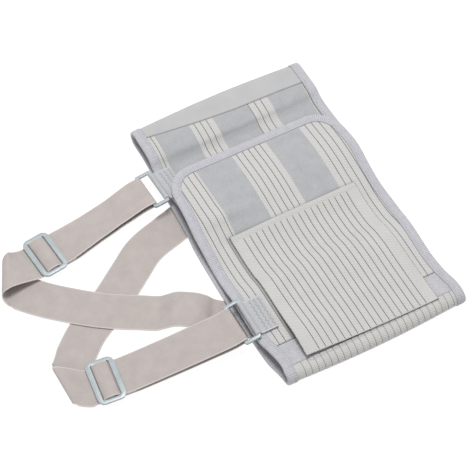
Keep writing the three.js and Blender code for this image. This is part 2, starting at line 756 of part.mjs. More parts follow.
function strap(side) {
  const route = strapRoute(side);
  const curve = new THREE.CatmullRomCurve3(route.map(({ point }) => point));
  const length = curve.getLength();
  const spans = route.length - 1;
  const tangentAt = (distance) => curve.getTangent(distance / length);
  const marks = route.map((_, i) => (i / spans) * length);
  const acrossAt = (u) => {
    const first = Math.min(Math.floor(u * spans), spans - 1);
    return route[first].across.clone().lerp(route[first + 1].across, u * spans - first);
  };
  return plate(1, stationsThrough(tangentAt, marks), (share, station, face) => {
    const u = THREE.MathUtils.clamp(station / length, 0, 1);
    const across = acrossAt(u);
    const square = new THREE.Vector3().crossVectors(curve.getTangent(u), across);
    return curve.getPoint(u)
      .addScaledVector(across, (share - 0.5) * strapWidth / square.length())
      .addScaledVector(square.normalize(), face * strapThickness / 2);
  });
}

// The object

function piece(name, geometry, material, frame) {
  const mesh = new THREE.Mesh(geometry, material);
  mesh.name = name;
  if (frame) {
    const matrix = new THREE.Matrix4().makeBasis(frame.across, frame.along, frame.normal);
    matrix.setPosition(frame.origin);
    mesh.applyMatrix4(matrix);
  }
  return mesh;
}

function strapSet(name) {
  const group = new THREE.Group();
  const place = tabPlaces[name];
  group.add(
    piece(`tab_${name}`, tab(), materials.tab, tabFrame(place)),
    piece(`ring_${name}`, ring(), materials.plastic, ringFrame(place)),
    piece(`slider_${name}`, slider(), materials.plastic, sliderFrame(sliderPlaces[name])),
    piece(`strap_${name}`, strap(name), materials.strap),
  );
  return group;
}

const belt = new THREE.Group();
belt.add(
  piece('front_left_panel', bandPiece(panelInset, seams.farTop - seamGap), materials.loopCloth),
  piece('far_band', bandPiece(seams.farTop + seamGap, seams.farBelow - seamGap), materials.plainCloth),
  piece('back_panel', bandPiece(seams.farBelow + seamGap, seams.side - seamGap), materials.loopCloth),
  piece('side_elastic', bandPiece(seams.side + seamGap, seams.patchStart - seamGap), materials.ribCloth),
  piece('side_patch', bandPiece(seams.patchStart + seamGap, seams.patchEnd - seamGap), materials.binding),
  piece('front_right_panel', bandPiece(seams.patchEnd + seamGap, bandLength - panelInset),
    materials.loopCloth),
  piece('edge_binding', edgeBinding(), materials.binding),
  piece('tension_panel', tensionPanel(), materials.ribCloth),
  strapSet('far'),
  strapSet('near'),
);

// The origin stands below the middle of the whole object, on the table
const bounds = new THREE.Box3().setFromObject(belt);
const middle = bounds.getCenter(new THREE.Vector3());
belt.position.set(-middle.x, -middle.y, -bounds.min.z);
const ribBelt = new THREE.Group();
ribBelt.add(belt);

export default ribBelt;
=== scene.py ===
# Rib belt with two shoulder straps, lying folded on a pale table.
# Sizes are in millimetres in the belt's own frame, and every mesh is made in metres: X across
# the belt from the edge that carries the straps, Y along the folded belt, Z up.

import math

import bmesh
import bpy
import numpy as np
from mathutils import Matrix, Vector


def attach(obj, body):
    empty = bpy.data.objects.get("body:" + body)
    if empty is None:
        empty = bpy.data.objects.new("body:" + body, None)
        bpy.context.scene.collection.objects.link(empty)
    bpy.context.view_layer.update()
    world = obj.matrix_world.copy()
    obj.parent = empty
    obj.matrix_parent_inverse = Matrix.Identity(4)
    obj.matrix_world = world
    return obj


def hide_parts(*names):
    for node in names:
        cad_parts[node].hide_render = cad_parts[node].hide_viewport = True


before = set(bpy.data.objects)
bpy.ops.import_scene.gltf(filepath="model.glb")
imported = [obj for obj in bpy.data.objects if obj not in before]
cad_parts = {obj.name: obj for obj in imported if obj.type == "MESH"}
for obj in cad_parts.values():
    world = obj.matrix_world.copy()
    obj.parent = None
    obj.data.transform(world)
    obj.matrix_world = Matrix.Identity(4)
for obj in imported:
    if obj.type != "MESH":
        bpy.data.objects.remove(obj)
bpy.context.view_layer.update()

# The belt's own frame stands here in the part's frame
belt_place = np.array([1.647, -210.544, 0.112])
METRE = 0.001

# Belt
belt_width = 250.0
folded_length = 421.0
cloth_thickness = 2.4
corner_radius = 38.0
hollow_height = 14.0
fold_bulge = 4.5
clearance = 0.3
binding_width = 13.0
binding_thickness = 0.9
binding_joint = 0.6
binding_middle = 6.0
binding_step = 2.4
pucker_waves = [(0.06, 7.3, 0), (0.05, 4.1, 1)]
pucker_spread = 4.5
# Depth from the fold at which shade is painted along the tape's inner edge
tape_edge_shade_depth = 13.2
half_cloth = cloth_thickness / 2
panel_inset = binding_thickness + clearance
rest_height = half_cloth + panel_inset
layer_pitch = 2 * rest_height + clearance

# Straps, tabs, rings and sliders
strap_width = 50.0
strap_thickness = 1.6
strap_pitch = strap_thickness + clearance
strap_reach = 236.0
fold_radius = 8.0
hump_height = 11.0
tail_length = 30.0
ring_window = strap_width + 0.6
slider_window = strap_width + 0.2
tab_thickness = 1.4
tab_cloth = 1.05
tab_length = 27.0
tab_gap = 0.5
tab_wedge = 1.8
ring_width = 22.0
ring_bar = 3.6
ring_length = 60.0
ring_thickness = 3.0
ring_wire = 3.6
ring_corner = 3.0
ring_rounding = 1.5
slider_width = 36.0
slider_length = 60.6
slider_side_bar = 6.6
turn_edge = 12.5
slider_centre_bar = 3.0
slider_thickness = 3.4
slider_bar = 2.4
slider_corner = 9.0
slider_rounding = 0.6
window_corner = 2.0
slider_height = 10.0
slider_air = 0.1

# Tension panel
tension_edges = (33.8, 212.5)
tension_thickness = 1.4
tension_lift = 7.5
tension_flare = 2.6
flare_fade = 110
end_lift = 0.2
hem_depth = 0.12
tension_corner = 4.0
tension_start = 0.030
tension_end = 0.506
tension_spacing = 2.2
tension_rounding = 0.9
tension_hem = 7.0
bump_line = 34.0
bump_place = 0.107
bump_spread = 0.085

# Tucks of the band beside the tension panel's three edges, which also set the painted shadow there: depth,
# place outside the edge, width
tuck_near = (1.1, 0.1, 0.8)
tuck_far = (0.9, 0.5, 1.0)
tuck_left = (0.9, 1.0, 1.8)

# Inner layer of the band: share along, air below the strap edge and below the free edge
inner_draw = 0.016
inner_rows = [
    (0.577, 0.75, 0.75),
    (0.622, 0.95, 0.95),
    (0.665, 0.95, 0.95),
    (0.703, 0.70, 0.70),
    (0.765, 0.42, 0.45),
    (0.829, 0.14, 0.45),
    (0.851, 0.42, 0.62),
    (0.869, 0.84, 0.90),
    (0.903, 1.08, 1.00),
    (0.941, 1.05, 0.98),
]

# Back layer: share along, straps below, pull of the strap edge, draw of the free edge
back_rows = [
    (0.955, 0, 0, 0.016),
    (0.914, 0, 0, 0.016),
    (0.855, 0, 0.004, 0.016),
    (0.796, 0.3, 0.008, 0.018),
    (0.748, 1, 0.014, 0.022),
    (0.594, 1, 0.026, 0.040),
    (0.542, 1, 0.036, 0.048),
    (0.409, 1, 0.043, 0.050),
    (0.361, 1, 0.044, 0.050),
    (0.147, 1, 0.036, 0.042),
    (0.095, 0, 0.028, 0.034),
    (0.052, 0, 0.012, 0.018),
]

# Outer layer: share along, layers below, air below each of the two edges, then pull and draw
outer_rows = [
    (0.052, 1, 0.95, 0.95, 0, 0.018),
    (0.107, 1, 0.93, 0.93, 0.014, 0.034),
    (0.143, 1, 0.90, 0.95, 0.028, 0.040),
    (0.178, 1, 0.86, 0.98, 0.032, 0.042),
    (0.266, 1, 0.86, 1.12, 0.030, 0.038),
    (0.314, 1, 0.84, 0.90, 0.029, 0.032),
    (0.356, 1, 0.50, 0.50, 0.028, 0.026),
    (0.399, 1, 0.38, 0.38, 0.027, 0.024),
    (0.442, 1, 0.42, 0.42, 0.025, 0.027),
    (0.485, 1, 0.70, 0.70, 0.024, 0.032),
    (0.518, 1, 0.90, 0.90, 0.023, 0.031),
    (0.551, 1, 1.05, 1.05, 0.022, 0.028),
    (0.584, 2, 0.88, 0.88, 0.018, 0.024),
    (0.627, 2, 1.02, 1.02, 0.012, 0.022),
    (0.675, 2, 1.00, 1.00, 0.006, 0.027),
    (0.722, 2, 0.90, 0.82, 0.002, 0.032),
    (0.765, 2, 0.82, 0.66, 0, 0.032),
    (0.789, 2, 0.78, 0.62, 0, 0.032),
]

# Angles of a half turn, at a fold of the band or round a ring's bar
half_turn = np.radians([90, 60, 30, 0, -30, -60, -90])

# Seams across the band, as shares of the folded length on the layer that they cross
seam_places = {
    "far_on_top": ("inner", 0.922),
    "far_below": ("back", 0.808),
    "side": ("back", 0.095),
    "patch_start": ("outer", 0.038),
    "patch_end": ("outer", 0.113),
}

# Tabs: layer, share along, place of the ring bar, pitch of the ring
tab_places = {
    "far": ("inner", 0.770, -0.56, 7),
    "near": ("outer", 0.226, 0.32, 11),
}

# Sliders: reach, share along, heading and pitch, and the roll and sag of the strap beside it
slider_places = {
    "far": (0.742, 0.7245, 5.3, 3, 7, 0.14),
    "near": (0.799, 0.2577, -6.8, 3, 0, 0.1),
}

# Lower runs of the straps: reach, share along, heading, and where raised, straps below and rise
lower_runs = {
    "far": [
        (-0.191, 0.1995, 152),
        (0.051, 0.2708, 150),
        (0.110, 0.2990, 149),
        (0.140, 0.3130, 149, 0, 0.10),
        (0.168, 0.3250, 149, 0, 0.62),
        (0.205, 0.3390, 150, 0, 1.00),
        (0.250, 0.3560, 150, 0, 1.05),
        (0.300, 0.3730, 150, 0, 1.00),
        (0.338, 0.3850, 149, 0.3, 0.50),
        (0.378, 0.3960, 147, 0.7, 0.06),
        (0.460, 0.4235, 146, 1, 0),
        (0.561, 0.4565, 145, 1, 0.02),
        (0.658, 0.4948, 143, 1, 0.02),
        (0.768, 0.5468, 136, 1, 0),
        (0.862, 0.5975, 130, 0.5, 0),
        (0.934, 0.6450, 126),
    ],
    "near": [
        (-0.191, 0.6865, 195),
        (0.124, 0.6385, 197),
        (0.200, 0.6270, 201),
        (0.280, 0.6085, 208),
        (0.375, 0.5715, 214),
        (0.545, 0.5048, 214),
        (0.656, 0.4677, 213),
        (0.753, 0.4354, 216),
        (0.865, 0.3810, 217),
    ],
}

# Folds of the straps: reach, share along, bearing of the fold line, skew, side and radius
strap_folds = {
    "far": (0.983, 0.6835, 65, 30, -1, 1),
    "near": (0.984, 0.3160, 271, 36.5, 1, 0.34),
}
fold_steps = 8
fold_pinch = 0.12


# Camera

def unit(vector):
    vector = np.asarray(vector, float)
    return vector / np.linalg.norm(vector, axis=-1, keepdims=True)


def add_camera(target, azimuth, elevation, distance, lens):
    a, e = math.radians(azimuth), math.radians(elevation)
    back = np.array([math.sin(a) * math.cos(e), -math.cos(a) * math.cos(e), math.sin(e)])
    right = np.array([math.cos(a), math.sin(a), 0])
    up = np.cross(back, right)
    data = bpy.data.cameras.new("camera")
    data.lens = lens
    data.sensor_width = 36
    data.clip_end = 20
    camera = bpy.data.objects.new("camera", data)
    bpy.context.scene.collection.objects.link(camera)
    place = (np.asarray(target) + distance * back) * METRE
    turn = Matrix((right, up, back)).transposed()
    camera.matrix_world = Matrix.Translation(Vector(place)) @ turn.to_4x4()
    bpy.context.scene.camera = camera


add_camera(target=(49.85, 14.76, 0.11), azimuth=-28.45, elevation=55.48, distance=2333, lens=142.96)


# Curves

class Spline:
    """A smooth curve through points, each span with the same share of the parameter."""

    def __init__(self, points):
        p = np.asarray(points, float)
        self.spans = len(p) - 1
        p = np.vstack([2 * p[0] - p[1], p, 2 * p[-1] - p[-2]])
        a, b, c, d = p[:-3], p[1:-2], p[2:-1], p[3:]
        before, span, after = (self.pace(f, t) for f, t in ((a, b), (b, c), (c, d)))
        start = ((b - a) / before - (c - a) / (before + span) + (c - b) / span) * span
        end = ((c - b) / span - (d - b) / (span + after) + (d - c) / after) * span
        self.terms = (b, start, 3 * (c - b) - 2 * start - end, 2 * (b - c) + start + end)

    @staticmethod
    def pace(start, end):
        return np.sqrt(np.linalg.norm(end - start, axis=1))[:, None]

    def __call__(self, u):
        t = np.clip(np.asarray(u, float), 0, 1) * self.spans
        span = np.minimum(t.astype(int), self.spans - 1)
        w = (t - span)[..., None]
        k0, k1, k2, k3 = (term[span] for term in self.terms)
        return ((k3 * w + k2) * w + k1) * w + k0

    def direction(self, u):
        step = 1e-5
        return unit(self(np.minimum(u + step, 1)) - self(np.maximum(u - step, 0)))


def travelled(points):
    """Distance run at each point of a line of points."""
    return np.concatenate([[0], np.cumsum(np.linalg.norm(np.diff(points, axis=0), axis=1))])


def smooth_step(low, high, value):
    t = np.clip((value - low) / (high - low), 0, 1)
    return t * t * (3 - 2 * t)


def plateau(low, high, outside, inside, value):
    """1 between low and high and 0 beyond them, with soft borders."""
    return smooth_step(low - outside, low + inside, value) \
        * smooth_step(-high - outside, -high + inside, -value)


def hill(value, width):
    return np.exp(-(value / width) ** 2)


def graded_shares(count, first, second):
    """Shares from 0 to 1 in count steps, with two more places close to each end."""
    ends = np.array([0, first, second]) / count
    return np.concatenate([ends, np.arange(1, count) / count, 1 - ends[::-1]])


# Band: the folded profile at its two edges

def edge_points(side):
    def point(along, over, strap_air, free_air, under, pull, drawn):
        if side == "strap":
            x, lift = -pull * belt_width, under * strap_pitch + strap_air * hollow_height
        else:
            x, lift = (1 - drawn) * belt_width, free_air * hollow_height
        return [x, along * folded_length, rest_height + over * layer_pitch + lift]

    def arc(upper, lower, way):
        radius = (upper[2] - lower[2]) / 2
        tip = folded_length - rest_height if way > 0 else rest_height
        return [[(upper[0] + lower[0]) / 2, tip - way * radius * (1 - math.cos(turn)),
                 (upper[2] + lower[2]) / 2 + radius * math.sin(turn)] for turn in half_turn]

    inner = [point(along, 1, *air, 0, 0, inner_draw) for along, *air in inner_rows]
    back = [point(along, 0, 0, 0, *shift) for along, *shift in back_rows]
    outer = [point(*row, 0, pull, drawn) for *row, pull, drawn in outer_rows]
    return inner + arc(inner[-1], back[0], 1) + back + arc(outer[0], back[-1], -1)[::-1] + outer


strap_edge = Spline(edge_points("strap"))
free_edge = Spline(edge_points("free"))
band_samples = 1601
band_u = np.linspace(0, 1, band_samples)
band_middle = (strap_edge(band_u) + free_edge(band_u)) / 2
band_distance = travelled(band_middle)
band_length = band_distance[-1]
far_knot = len(inner_rows) + len(half_turn) // 2
near_knot = far_knot + len(half_turn) + len(back_rows)
layer_spans = {
    "inner": (0, far_knot / strap_edge.spans),
    "back": (far_knot / strap_edge.spans, near_knot / strap_edge.spans),
    "outer": (near_knot / strap_edge.spans, 1),
}


def distance_of(layer, along):
    """Distance along the band at which a layer lies at a share of the folded length."""
    first, last = (round(u * (len(band_u) - 1)) for u in layer_spans[layer])
    y = band_middle[first:last + 1, 1] - along * folded_length
    i = first + int(np.argmax(y[:-1] * y[1:] <= 0))
    share = (along * folded_length - band_middle[i, 1]) / (band_middle[i + 1, 1] - band_middle[i, 1])
    return band_distance[i] + share * (band_distance[i + 1] - band_distance[i])


def band_frame(distance, x):
    """Origin, across, along and normal on the band, x across it from the strap edge."""
    distance, x = np.broadcast_arrays(np.asarray(distance, float), np.asarray(x, float))
    u = np.interp(distance, band_distance, band_u)
    share = (x / belt_width)[..., None]

    def at(v):
        return strap_edge(v) * (1 - share) + free_edge(v) * share

    step = 1e-4
    forward = unit(at(np.minimum(u + step, 1)) - at(np.maximum(u - step, 0)))
    across = unit(free_edge(u) - strap_edge(u))
    normal = unit(np.cross(across, forward))
    return at(u), across, np.cross(normal, across), normal


# Ridge and hollow of the closing panel beside the tension panel, as place and height of each
crease_waves = [(distance_of("outer", 0.575), 5.0), (distance_of("outer", 0.490), -3.0)]
crease_spread = 13


def closing_crease(distance, x):
    height = sum(rise * hill(distance - place, crease_spread) for place, rise in crease_waves)
    return height * smooth_step(9, 36, x) * smooth_step(-100, -46, -x)


def on_band(distance, x, offset):
    """Points at an offset from the middle of the cloth, x across it from the strap edge."""
    x = np.asarray(x, float)
    origin, _, _, normal = band_frame(distance, x)
    fullness = fold_bulge * normal[..., 1] ** 2 * np.sin(np.pi * x / belt_width)
    return origin + normal * (offset + fullness + closing_crease(distance, x))[..., None]


def share_at(distance, world_x):
    """The place across the band that lies at one straight line along the belt."""
    u = np.interp(distance, band_distance, band_u)
    low, high = strap_edge(u)[..., 0], free_edge(u)[..., 0]
    return belt_width * (world_x - low) / (high - low)


def edge_reach(distance, x):
    """How far a place lies inside the band's outline, which has rounded corners."""
    side = np.minimum(x, belt_width - x)
    end = np.minimum(distance, band_length - distance)
    corner = corner_radius - np.hypot(corner_radius - np.minimum(side, corner_radius),
                                      corner_radius - np.minimum(end, corner_radius))
    return np.where((side < corner_radius) & (end < corner_radius), corner, np.minimum(side, end))


seams = {name: distance_of(*place) for name, place in seam_places.items()}
tension_from = distance_of("outer", tension_start)
tension_to = distance_of("outer", tension_end)


# Meshes

def clear_selection():
    for thing in bpy.context.selected_objects:
        thing.select_set(False)


def above_table(points):
    return np.maximum(points, [-np.inf, -np.inf, -belt_place[2]])


def new_piece(name, points, faces):
    mesh = bpy.data.meshes.new(name)
    mesh.from_pydata(((np.reshape(points, (-1, 3)) + belt_place) * METRE).tolist(), [], faces)
    piece = bpy.data.objects.new(name, mesh)
    bpy.context.scene.collection.objects.link(piece)
    return piece


def face_outwards(piece, merge=0.0):
    shape = bmesh.new()
    shape.from_mesh(piece.data)
    if merge:
        bmesh.ops.remove_doubles(shape, verts=shape.verts, dist=merge * METRE)
        bmesh.ops.dissolve_degenerate(shape, edges=shape.edges, dist=merge * METRE / 10)
    bmesh.ops.recalc_face_normals(shape, faces=shape.faces)
    if shape.calc_volume(signed=True) < 0:
        bmesh.ops.reverse_faces(shape, faces=shape.faces)
    shape.to_mesh(piece.data)
    shape.free()
    for polygon in piece.data.polygons:
        polygon.use_smooth = True


def tube_faces(rows, around, whole_ends=False):
    """Faces of rows of points that run once around a section, with closed ends."""
    i, k = np.meshgrid(np.arange(rows - 1), np.arange(around), indexing="ij")
    following = (k + 1) % around
    quads = np.stack([i * around + k, i * around + following,
                      (i + 1) * around + following, (i + 1) * around + k], -1)
    faces = quads.reshape(-1, 4).tolist()
    for start in (0, (rows - 1) * around):
        if whole_ends:
            faces.append(list(range(start, start + around)))
        else:
            faces += [[start + k, start + k + 1, start + around - 2 - k, start + around - 1 - k]
                      for k in range(around // 2 - 1)]
    return faces


def set_attribute(piece, name, values):
    attribute = piece.data.attributes.new(name, "FLOAT", "POINT")
    attribute.data.foreach_set("value", np.asarray(values, np.float32).ravel())


def set_cloth_map(piece, u, v):
    """A map in metres of cloth, from one pair of values for each vertex."""
    layer = piece.data.uv_layers.new(name="cloth")
    corner = np.empty(len(piece.data.loops), np.int32)
    piece.data.loops.foreach_get("vertex_index", corner)
    pairs = np.stack([np.ravel(u)[corner], np.ravel(v)[corner]], -1) * METRE
    layer.data.foreach_set("uv", pairs.astype(np.float32).ravel())


def cloth_sheet(name, top, bottom, across, along, masks=None):
    """A closed sheet from grids of points on its two faces."""
    rows, columns = across.shape
    points = np.concatenate([top, bottom[:, ::-1]], 1)
    piece = new_piece(name, points, tube_faces(rows, 2 * columns))
    set_cloth_map(piece, *(np.concatenate([grid, grid[:, ::-1]], 1) for grid in (across, along)))
    for mask, values in (masks or {}).items():
        set_attribute(piece, mask, np.concatenate([values, 0 * values], 1))
    # The underside of each sheet is marked for painted shade
    set_attribute(piece, "underside_shade", np.concatenate([0 * across, 0 * across + 1], 1))
    return piece


# Stripes and sewn lines, measured across the belt from a straight line beside its strap edge

front_lines = [12.5, 21.4, 30.3, 39.2, 100.5, 109.3, 118.1, 126.4, 134.6, 201, 210.2, 219.5, 229]
front_pile = [(43, 94), (143, 192)]
inner_lines = [17.5, 76.3, 85, 93.2, 152.7, 162, 171.1, 232.5]
inner_pile = [(22.5, 69.5), (102, 152), (181, 230.5)]
side_lines = [48.0 + 8.6 * k for k in range(-3, 23)]
tension_lines = [49.3 + 8.63 * k for k in range(18)]
line_depth = 0.45
crown_height = 0.16
pile_height = 0.45
seam_depth = 0.45
seam_width = 0.9
seam_pinch = 0.25
widest_rib = 12
narrowest_column = 0.2


def line_profile(x, lines, width=0.5):
    total = np.zeros_like(x)
    for line in lines:
        total = np.maximum(total, hill(x - line, width))
    return total


def rib_crown(x, lines):
    """A low arch between each two lines that are close together."""
    crown = np.zeros_like(x)
    for low, high in zip(lines[:-1], lines[1:]):
        if high - low < widest_rib:
            t = (x - low) / (high - low)
            crown = np.where((t > 0) & (t < 1), 1 - (2 * t - 1) ** 4, crown)
    return crown


def inside_any(x, spans, soft=1.0):
    total = np.zeros_like(x)
    for low, high in spans:
        total = np.maximum(total, plateau(low, high, soft, soft, x))
    return total


def columns_for(low, high, lines, borders, widest):
    """Places across the cloth, close together at its lines and borders."""
    marks = [low, high]
    marks += [line + step for line in lines for step in (-0.95, -0.45, 0, 0.45, 0.95)]
    marks += [border + step for border in borders for step in (-1.2, 0, 1.2)]
    marks = sorted(mark for mark in marks if low <= mark <= high)
    kept = [marks[0]]
    for mark in marks[1:]:
        gap = mark - kept[-1]
        if gap < narrowest_column:
            continue
        steps = max(1, math.ceil(gap / widest))
        kept += [kept[-1] + gap * (i + 1) / steps for i in range(steps)]
    return np.array(kept)


def seam_wave(x):
    """How far the sewn end of the far band strays along the belt."""
    places = [0, 13, 35, 60, 80, 100, 135, 200, 240, 250]
    strays = [11.2, 10.4, 7, 4.2, 1.7, 0, -2.5, -3.6, -5.3, -5.6]
    return np.interp(x, places, strays)


def tension_tuck(distance, world):
    """How far the band is pressed in just beside the tension panel's edges, which also sets the painted
    shadow there.
    """
    across = plateau(*tension_edges, 2, 1, world)
    along = plateau(tension_from, tension_to, 2, 1, distance)
    outside = (tension_from - distance, distance - tension_to, tension_edges[0] - world)
    near, far, left = (depth * hill(reach - place, width) for reach, (depth, place, width)
                       in zip(outside, (tuck_near, tuck_far, tuck_left)))
    return np.maximum(np.maximum(near, far) * across, left * along)


def band_piece(name, start, end, columns, spacing, lines=(), pile=(), waves=(0, 0), strength=1.0,
               below_tension=False):
    """One panel of the band between two seams, with its relief on the outer side."""
    first, last = (place + wave * seam_wave(columns) for place, wave in zip((start, end), waves))
    share = graded_shares(max(4, math.ceil((end - start) / spacing)), 0.15, 0.5)
    distance = first + share[:, None] * (last - first)
    world = np.broadcast_to(columns, distance.shape)
    across = share_at(distance, world)
    end_reach = np.minimum(distance, band_length - distance) - panel_inset
    radius = corner_radius - panel_inset
    short = np.maximum(radius - np.maximum(end_reach, 0), 0)
    inset = panel_inset + radius - np.sqrt(np.maximum(radius ** 2 - short ** 2, 0))
    across = np.clip(across, inset, belt_width - inset)
    reach = edge_reach(distance, across)
    uncovered = smooth_step(binding_width - 1.5, binding_width + 0.5, reach)
    free = uncovered
    if below_tension:
        covered = plateau(*tension_edges, 0, 1, world) * smooth_step(-tension_to, 1 - tension_to, -distance)
        free = uncovered * (1 - covered)
    seam_and_shade = hill(np.minimum(distance - first, last - distance), seam_width)
    line = line_profile(world, lines)
    raised = inside_any(world, pile)
    crown = crown_height * rib_crown(world, lines) * (1 - line)
    tuck = tension_tuck(distance, world)
    relief = free * (crown + pile_height * raised - line_depth * line) - seam_depth * seam_and_shade * uncovered - tuck
    top = on_band(distance, across, half_cloth + relief)
    bottom = on_band(distance, across, -half_cloth + seam_pinch * seam_and_shade)
    # The mask paints shade in the seam grooves and shadow beside the tension panel's edges
    masks = {"line": line * free * strength, "pile": raised, "seam_and_shade": np.maximum(seam_and_shade * uncovered, tuck)}
    piece = cloth_sheet(f"{name}_cloth", top, bottom, world, distance, masks)
    face_outwards(piece, merge=0.02)
    return piece


# Edge binding: one tape folded round the outline, soft and rounded

def binding_section():
    """Depth from the fold and offset from the middle of the cloth, once around the tape."""
    outside = [(12.9, 1.55), (12.95, 1.90), (12.5, 2.12), (11.6, 2.16), (10.6, 2.10), (9.4, 2.04),
               (8.2, 2.10), (7.0, 2.26), (5.6, 2.38), (4.2, 2.42), (2.8, 2.38), (1.6, 2.18),
               (0.7, 1.78), (0.15, 1.10), (0.0, 0.4)]
    inside = [(0.85, 0.3), (0.95, 0.9), (1.15, 1.4), (1.8, 1.52), (12.5, 1.52)]
    below, under = ([(depth, -offset) for depth, offset in reversed(half)] for half in (outside, inside))
    return np.array(outside + below + under + inside)


def corner_places(distance, x, first_angle, steps=24):
    """Rows of distance, place across, and the two parts of the way inwards."""
    angle = np.radians(first_angle + np.linspace(0, 90, steps + 1))
    return np.stack([distance + corner_radius * np.cos(angle), x + corner_radius * np.sin(angle),
                     -np.cos(angle), -np.sin(angle)], -1)


def binding_route():
    first, last = corner_radius, band_length - corner_radius
    right = belt_width - corner_radius
    joint = (belt_width - binding_joint) / 2
    run = np.linspace(first, last, math.ceil((last - first) / binding_step) + 1)[1:-1]
    side = np.stack([run, 0 * run, 0 * run, 0 * run + 1], -1)
    far_side = np.stack([run[::-1], 0 * run + belt_width, 0 * run, 0 * run - 1], -1)

    def end_run(start, stop, distance, inward):
        x = np.linspace(start, stop, 32)
        return np.stack([0 * x + distance, x, 0 * x + inward, 0 * x], -1)

    return np.concatenate([
        end_run(joint, corner_radius, 0, 1)[:-1],
        corner_places(first, corner_radius, 180),
        side,
        corner_places(last, corner_radius, 270),
        end_run(corner_radius, right, band_length, -1)[1:-1],
        corner_places(last, right, 0),
        far_side,
        corner_places(first, right, 90),
        end_run(right, belt_width - joint, 0, 1)[1:],
    ])


def binding_points(route, depth, offset):
    distance, x, inward_distance, inward_x = (route[:, i, None] for i in range(4))
    return on_band(distance + inward_distance * depth, x + inward_x * depth, offset + 0 * distance)


def edge_binding():
    route = binding_route()
    section = binding_section()
    grid = (len(route), len(section))
    depth, offset = (np.broadcast_to(section[:, i], grid) for i in (0, 1))
    place = travelled(binding_points(route, np.full((1, 1), binding_middle), np.zeros((1, 1)))[:, 0])
    pucker = sum(height * np.sin(place * 2 * np.pi / length + phase)
                 for height, length, phase in pucker_waves)
    outer = hill(depth - binding_middle, pucker_spread) * (np.abs(offset) > 1.6)
    points = binding_points(route, depth, offset + np.sign(offset) * outer * pucker[:, None])
    piece = new_piece("edge_binding_tape", above_table(points), tube_faces(*grid, True))
    set_cloth_map(piece, np.broadcast_to(place[:, None], grid), np.broadcast_to(travelled(section), grid))
    # Marks the tape's inner edge for painted shade
    set_attribute(piece, "tape_edge_shade", hill(depth - tape_edge_shade_depth, 0.8))
    face_outwards(piece)
    return piece, route, place


# Thread: sewn stitches that arch over the cloth, as share along each, lift and thickness

stitch_form = [(0, -0.25, 0.7), (0.22, 0.6, 1), (0.5, 1, 1.08), (0.78, 0.6, 1), (1, -0.25, 0.7)]


def stitches(name, starts, ends, ups, radius, arch, sides=5):
    side = unit(np.cross(unit(ends - starts), ups))
    angle = np.arange(sides) * 2 * np.pi / sides
    ring = np.cos(angle)[:, None, None] * side + np.sin(angle)[:, None, None] * ups
    points = np.stack([starts + (ends - starts) * share + ups * arch * lift + radius * thick * ring
                       for share, lift, thick in stitch_form]).transpose(2, 0, 1, 3)
    count, levels = points.shape[:2]
    one = tube_faces(levels, sides, True)
    faces = [[base + k for k in face] for base in range(0, count * levels * sides, levels * sides)
             for face in one]
    piece = new_piece(name, above_table(points), faces)
    face_outwards(piece)
    return piece


def zigzag_along(route, place, depth, swing, pitch, offset):
    """Stitch ends that run along the binding and swing across it."""
    marks = np.arange(pitch, place[-1] - pitch, pitch)
    indices = np.interp(marks, place, np.arange(len(place)))
    low = indices.astype(int)
    share = (indices - low)[:, None]
    rows = route[low] * (1 - share) + route[np.minimum(low + 1, len(route) - 1)] * share
    depths = depth + swing * np.where(np.arange(len(marks)) % 2, 1, -1)
    points, beyond = (binding_points(rows, depths[:, None], height)[:, 0]
                      for height in (offset, offset + np.sign(offset)))
    return points[:-1], points[1:], unit(beyond - points)[:-1]


# Tension panel

def tension_panel():
    low, high = tension_edges
    x = columns_for(low, high, tension_lines, [low + 1.2, high - 1.2], tension_spacing)
    share = graded_shares(math.ceil((tension_to - tension_from) / tension_spacing), 0.2, 0.6)
    start = tension_from + tension_corner * (1 - (x - low) / (high - low)) ** 2
    distance = start + share[:, None] * (tension_to - start)
    near = 1 - smooth_step(0, flare_fade, distance - tension_from)
    border = np.clip((tension_lines[0] - x) / (tension_lines[0] - low), 0, 1)
    world = x - tension_flare * near * border
    across = share_at(distance, world)
    along = band_frame(distance, np.full(distance.shape, bump_line))[0][..., 1] / folded_length
    place = np.clip((world - low) / (high - low), 0, 1)
    lift = tension_lift * hill(along - bump_place, bump_spread) * (1 - place) ** 2 \
        + end_lift * smooth_step(-9, -1, tension_from - distance)
    from_end = np.minimum(distance - start, tension_to - distance)
    from_edge = np.clip(np.minimum(from_end, np.minimum(x - low, high - x)) / tension_rounding, 0, 1)
    rounding = np.sqrt(1 - (1 - from_edge) ** 2)
    from_hem = tension_to - distance - tension_hem
    sewn = smooth_step(-0.6, 0.4, from_hem) * smooth_step(0.6, 1.2, distance - start)
    line = line_profile(world, tension_lines) * sewn
    # The hem's groove, also painted with shade through the mask
    seam_and_shade = hill(from_hem, 0.7)
    crown = sewn * crown_height * rib_crown(world, tension_lines) * (1 - line)
    relief = crown - line_depth * line - hem_depth * seam_and_shade
    half = tension_thickness / 2
    seat = half_cloth + clearance + lift + half
    top = on_band(distance, across, seat + (half + relief) * rounding)
    bottom = on_band(distance, across, seat - half * rounding)
    piece = cloth_sheet("tension_panel_cloth", top, bottom, world, distance,
                        {"line": line, "pile": 0 * line, "seam_and_shade": seam_and_shade * 0.4})
    face_outwards(piece, merge=0.02)
    return piece


# Frames of the tabs, rings and sliders, as origin, across, along and normal

loop_inside = math.hypot(ring_bar, ring_thickness) / 2 + clearance
loop_outside = loop_inside + tab_thickness
loop_height = rest_height + tab_gap + loop_outside


def strap_point(reach, along, height):
    return np.array([-reach * strap_reach, along * folded_length, height])


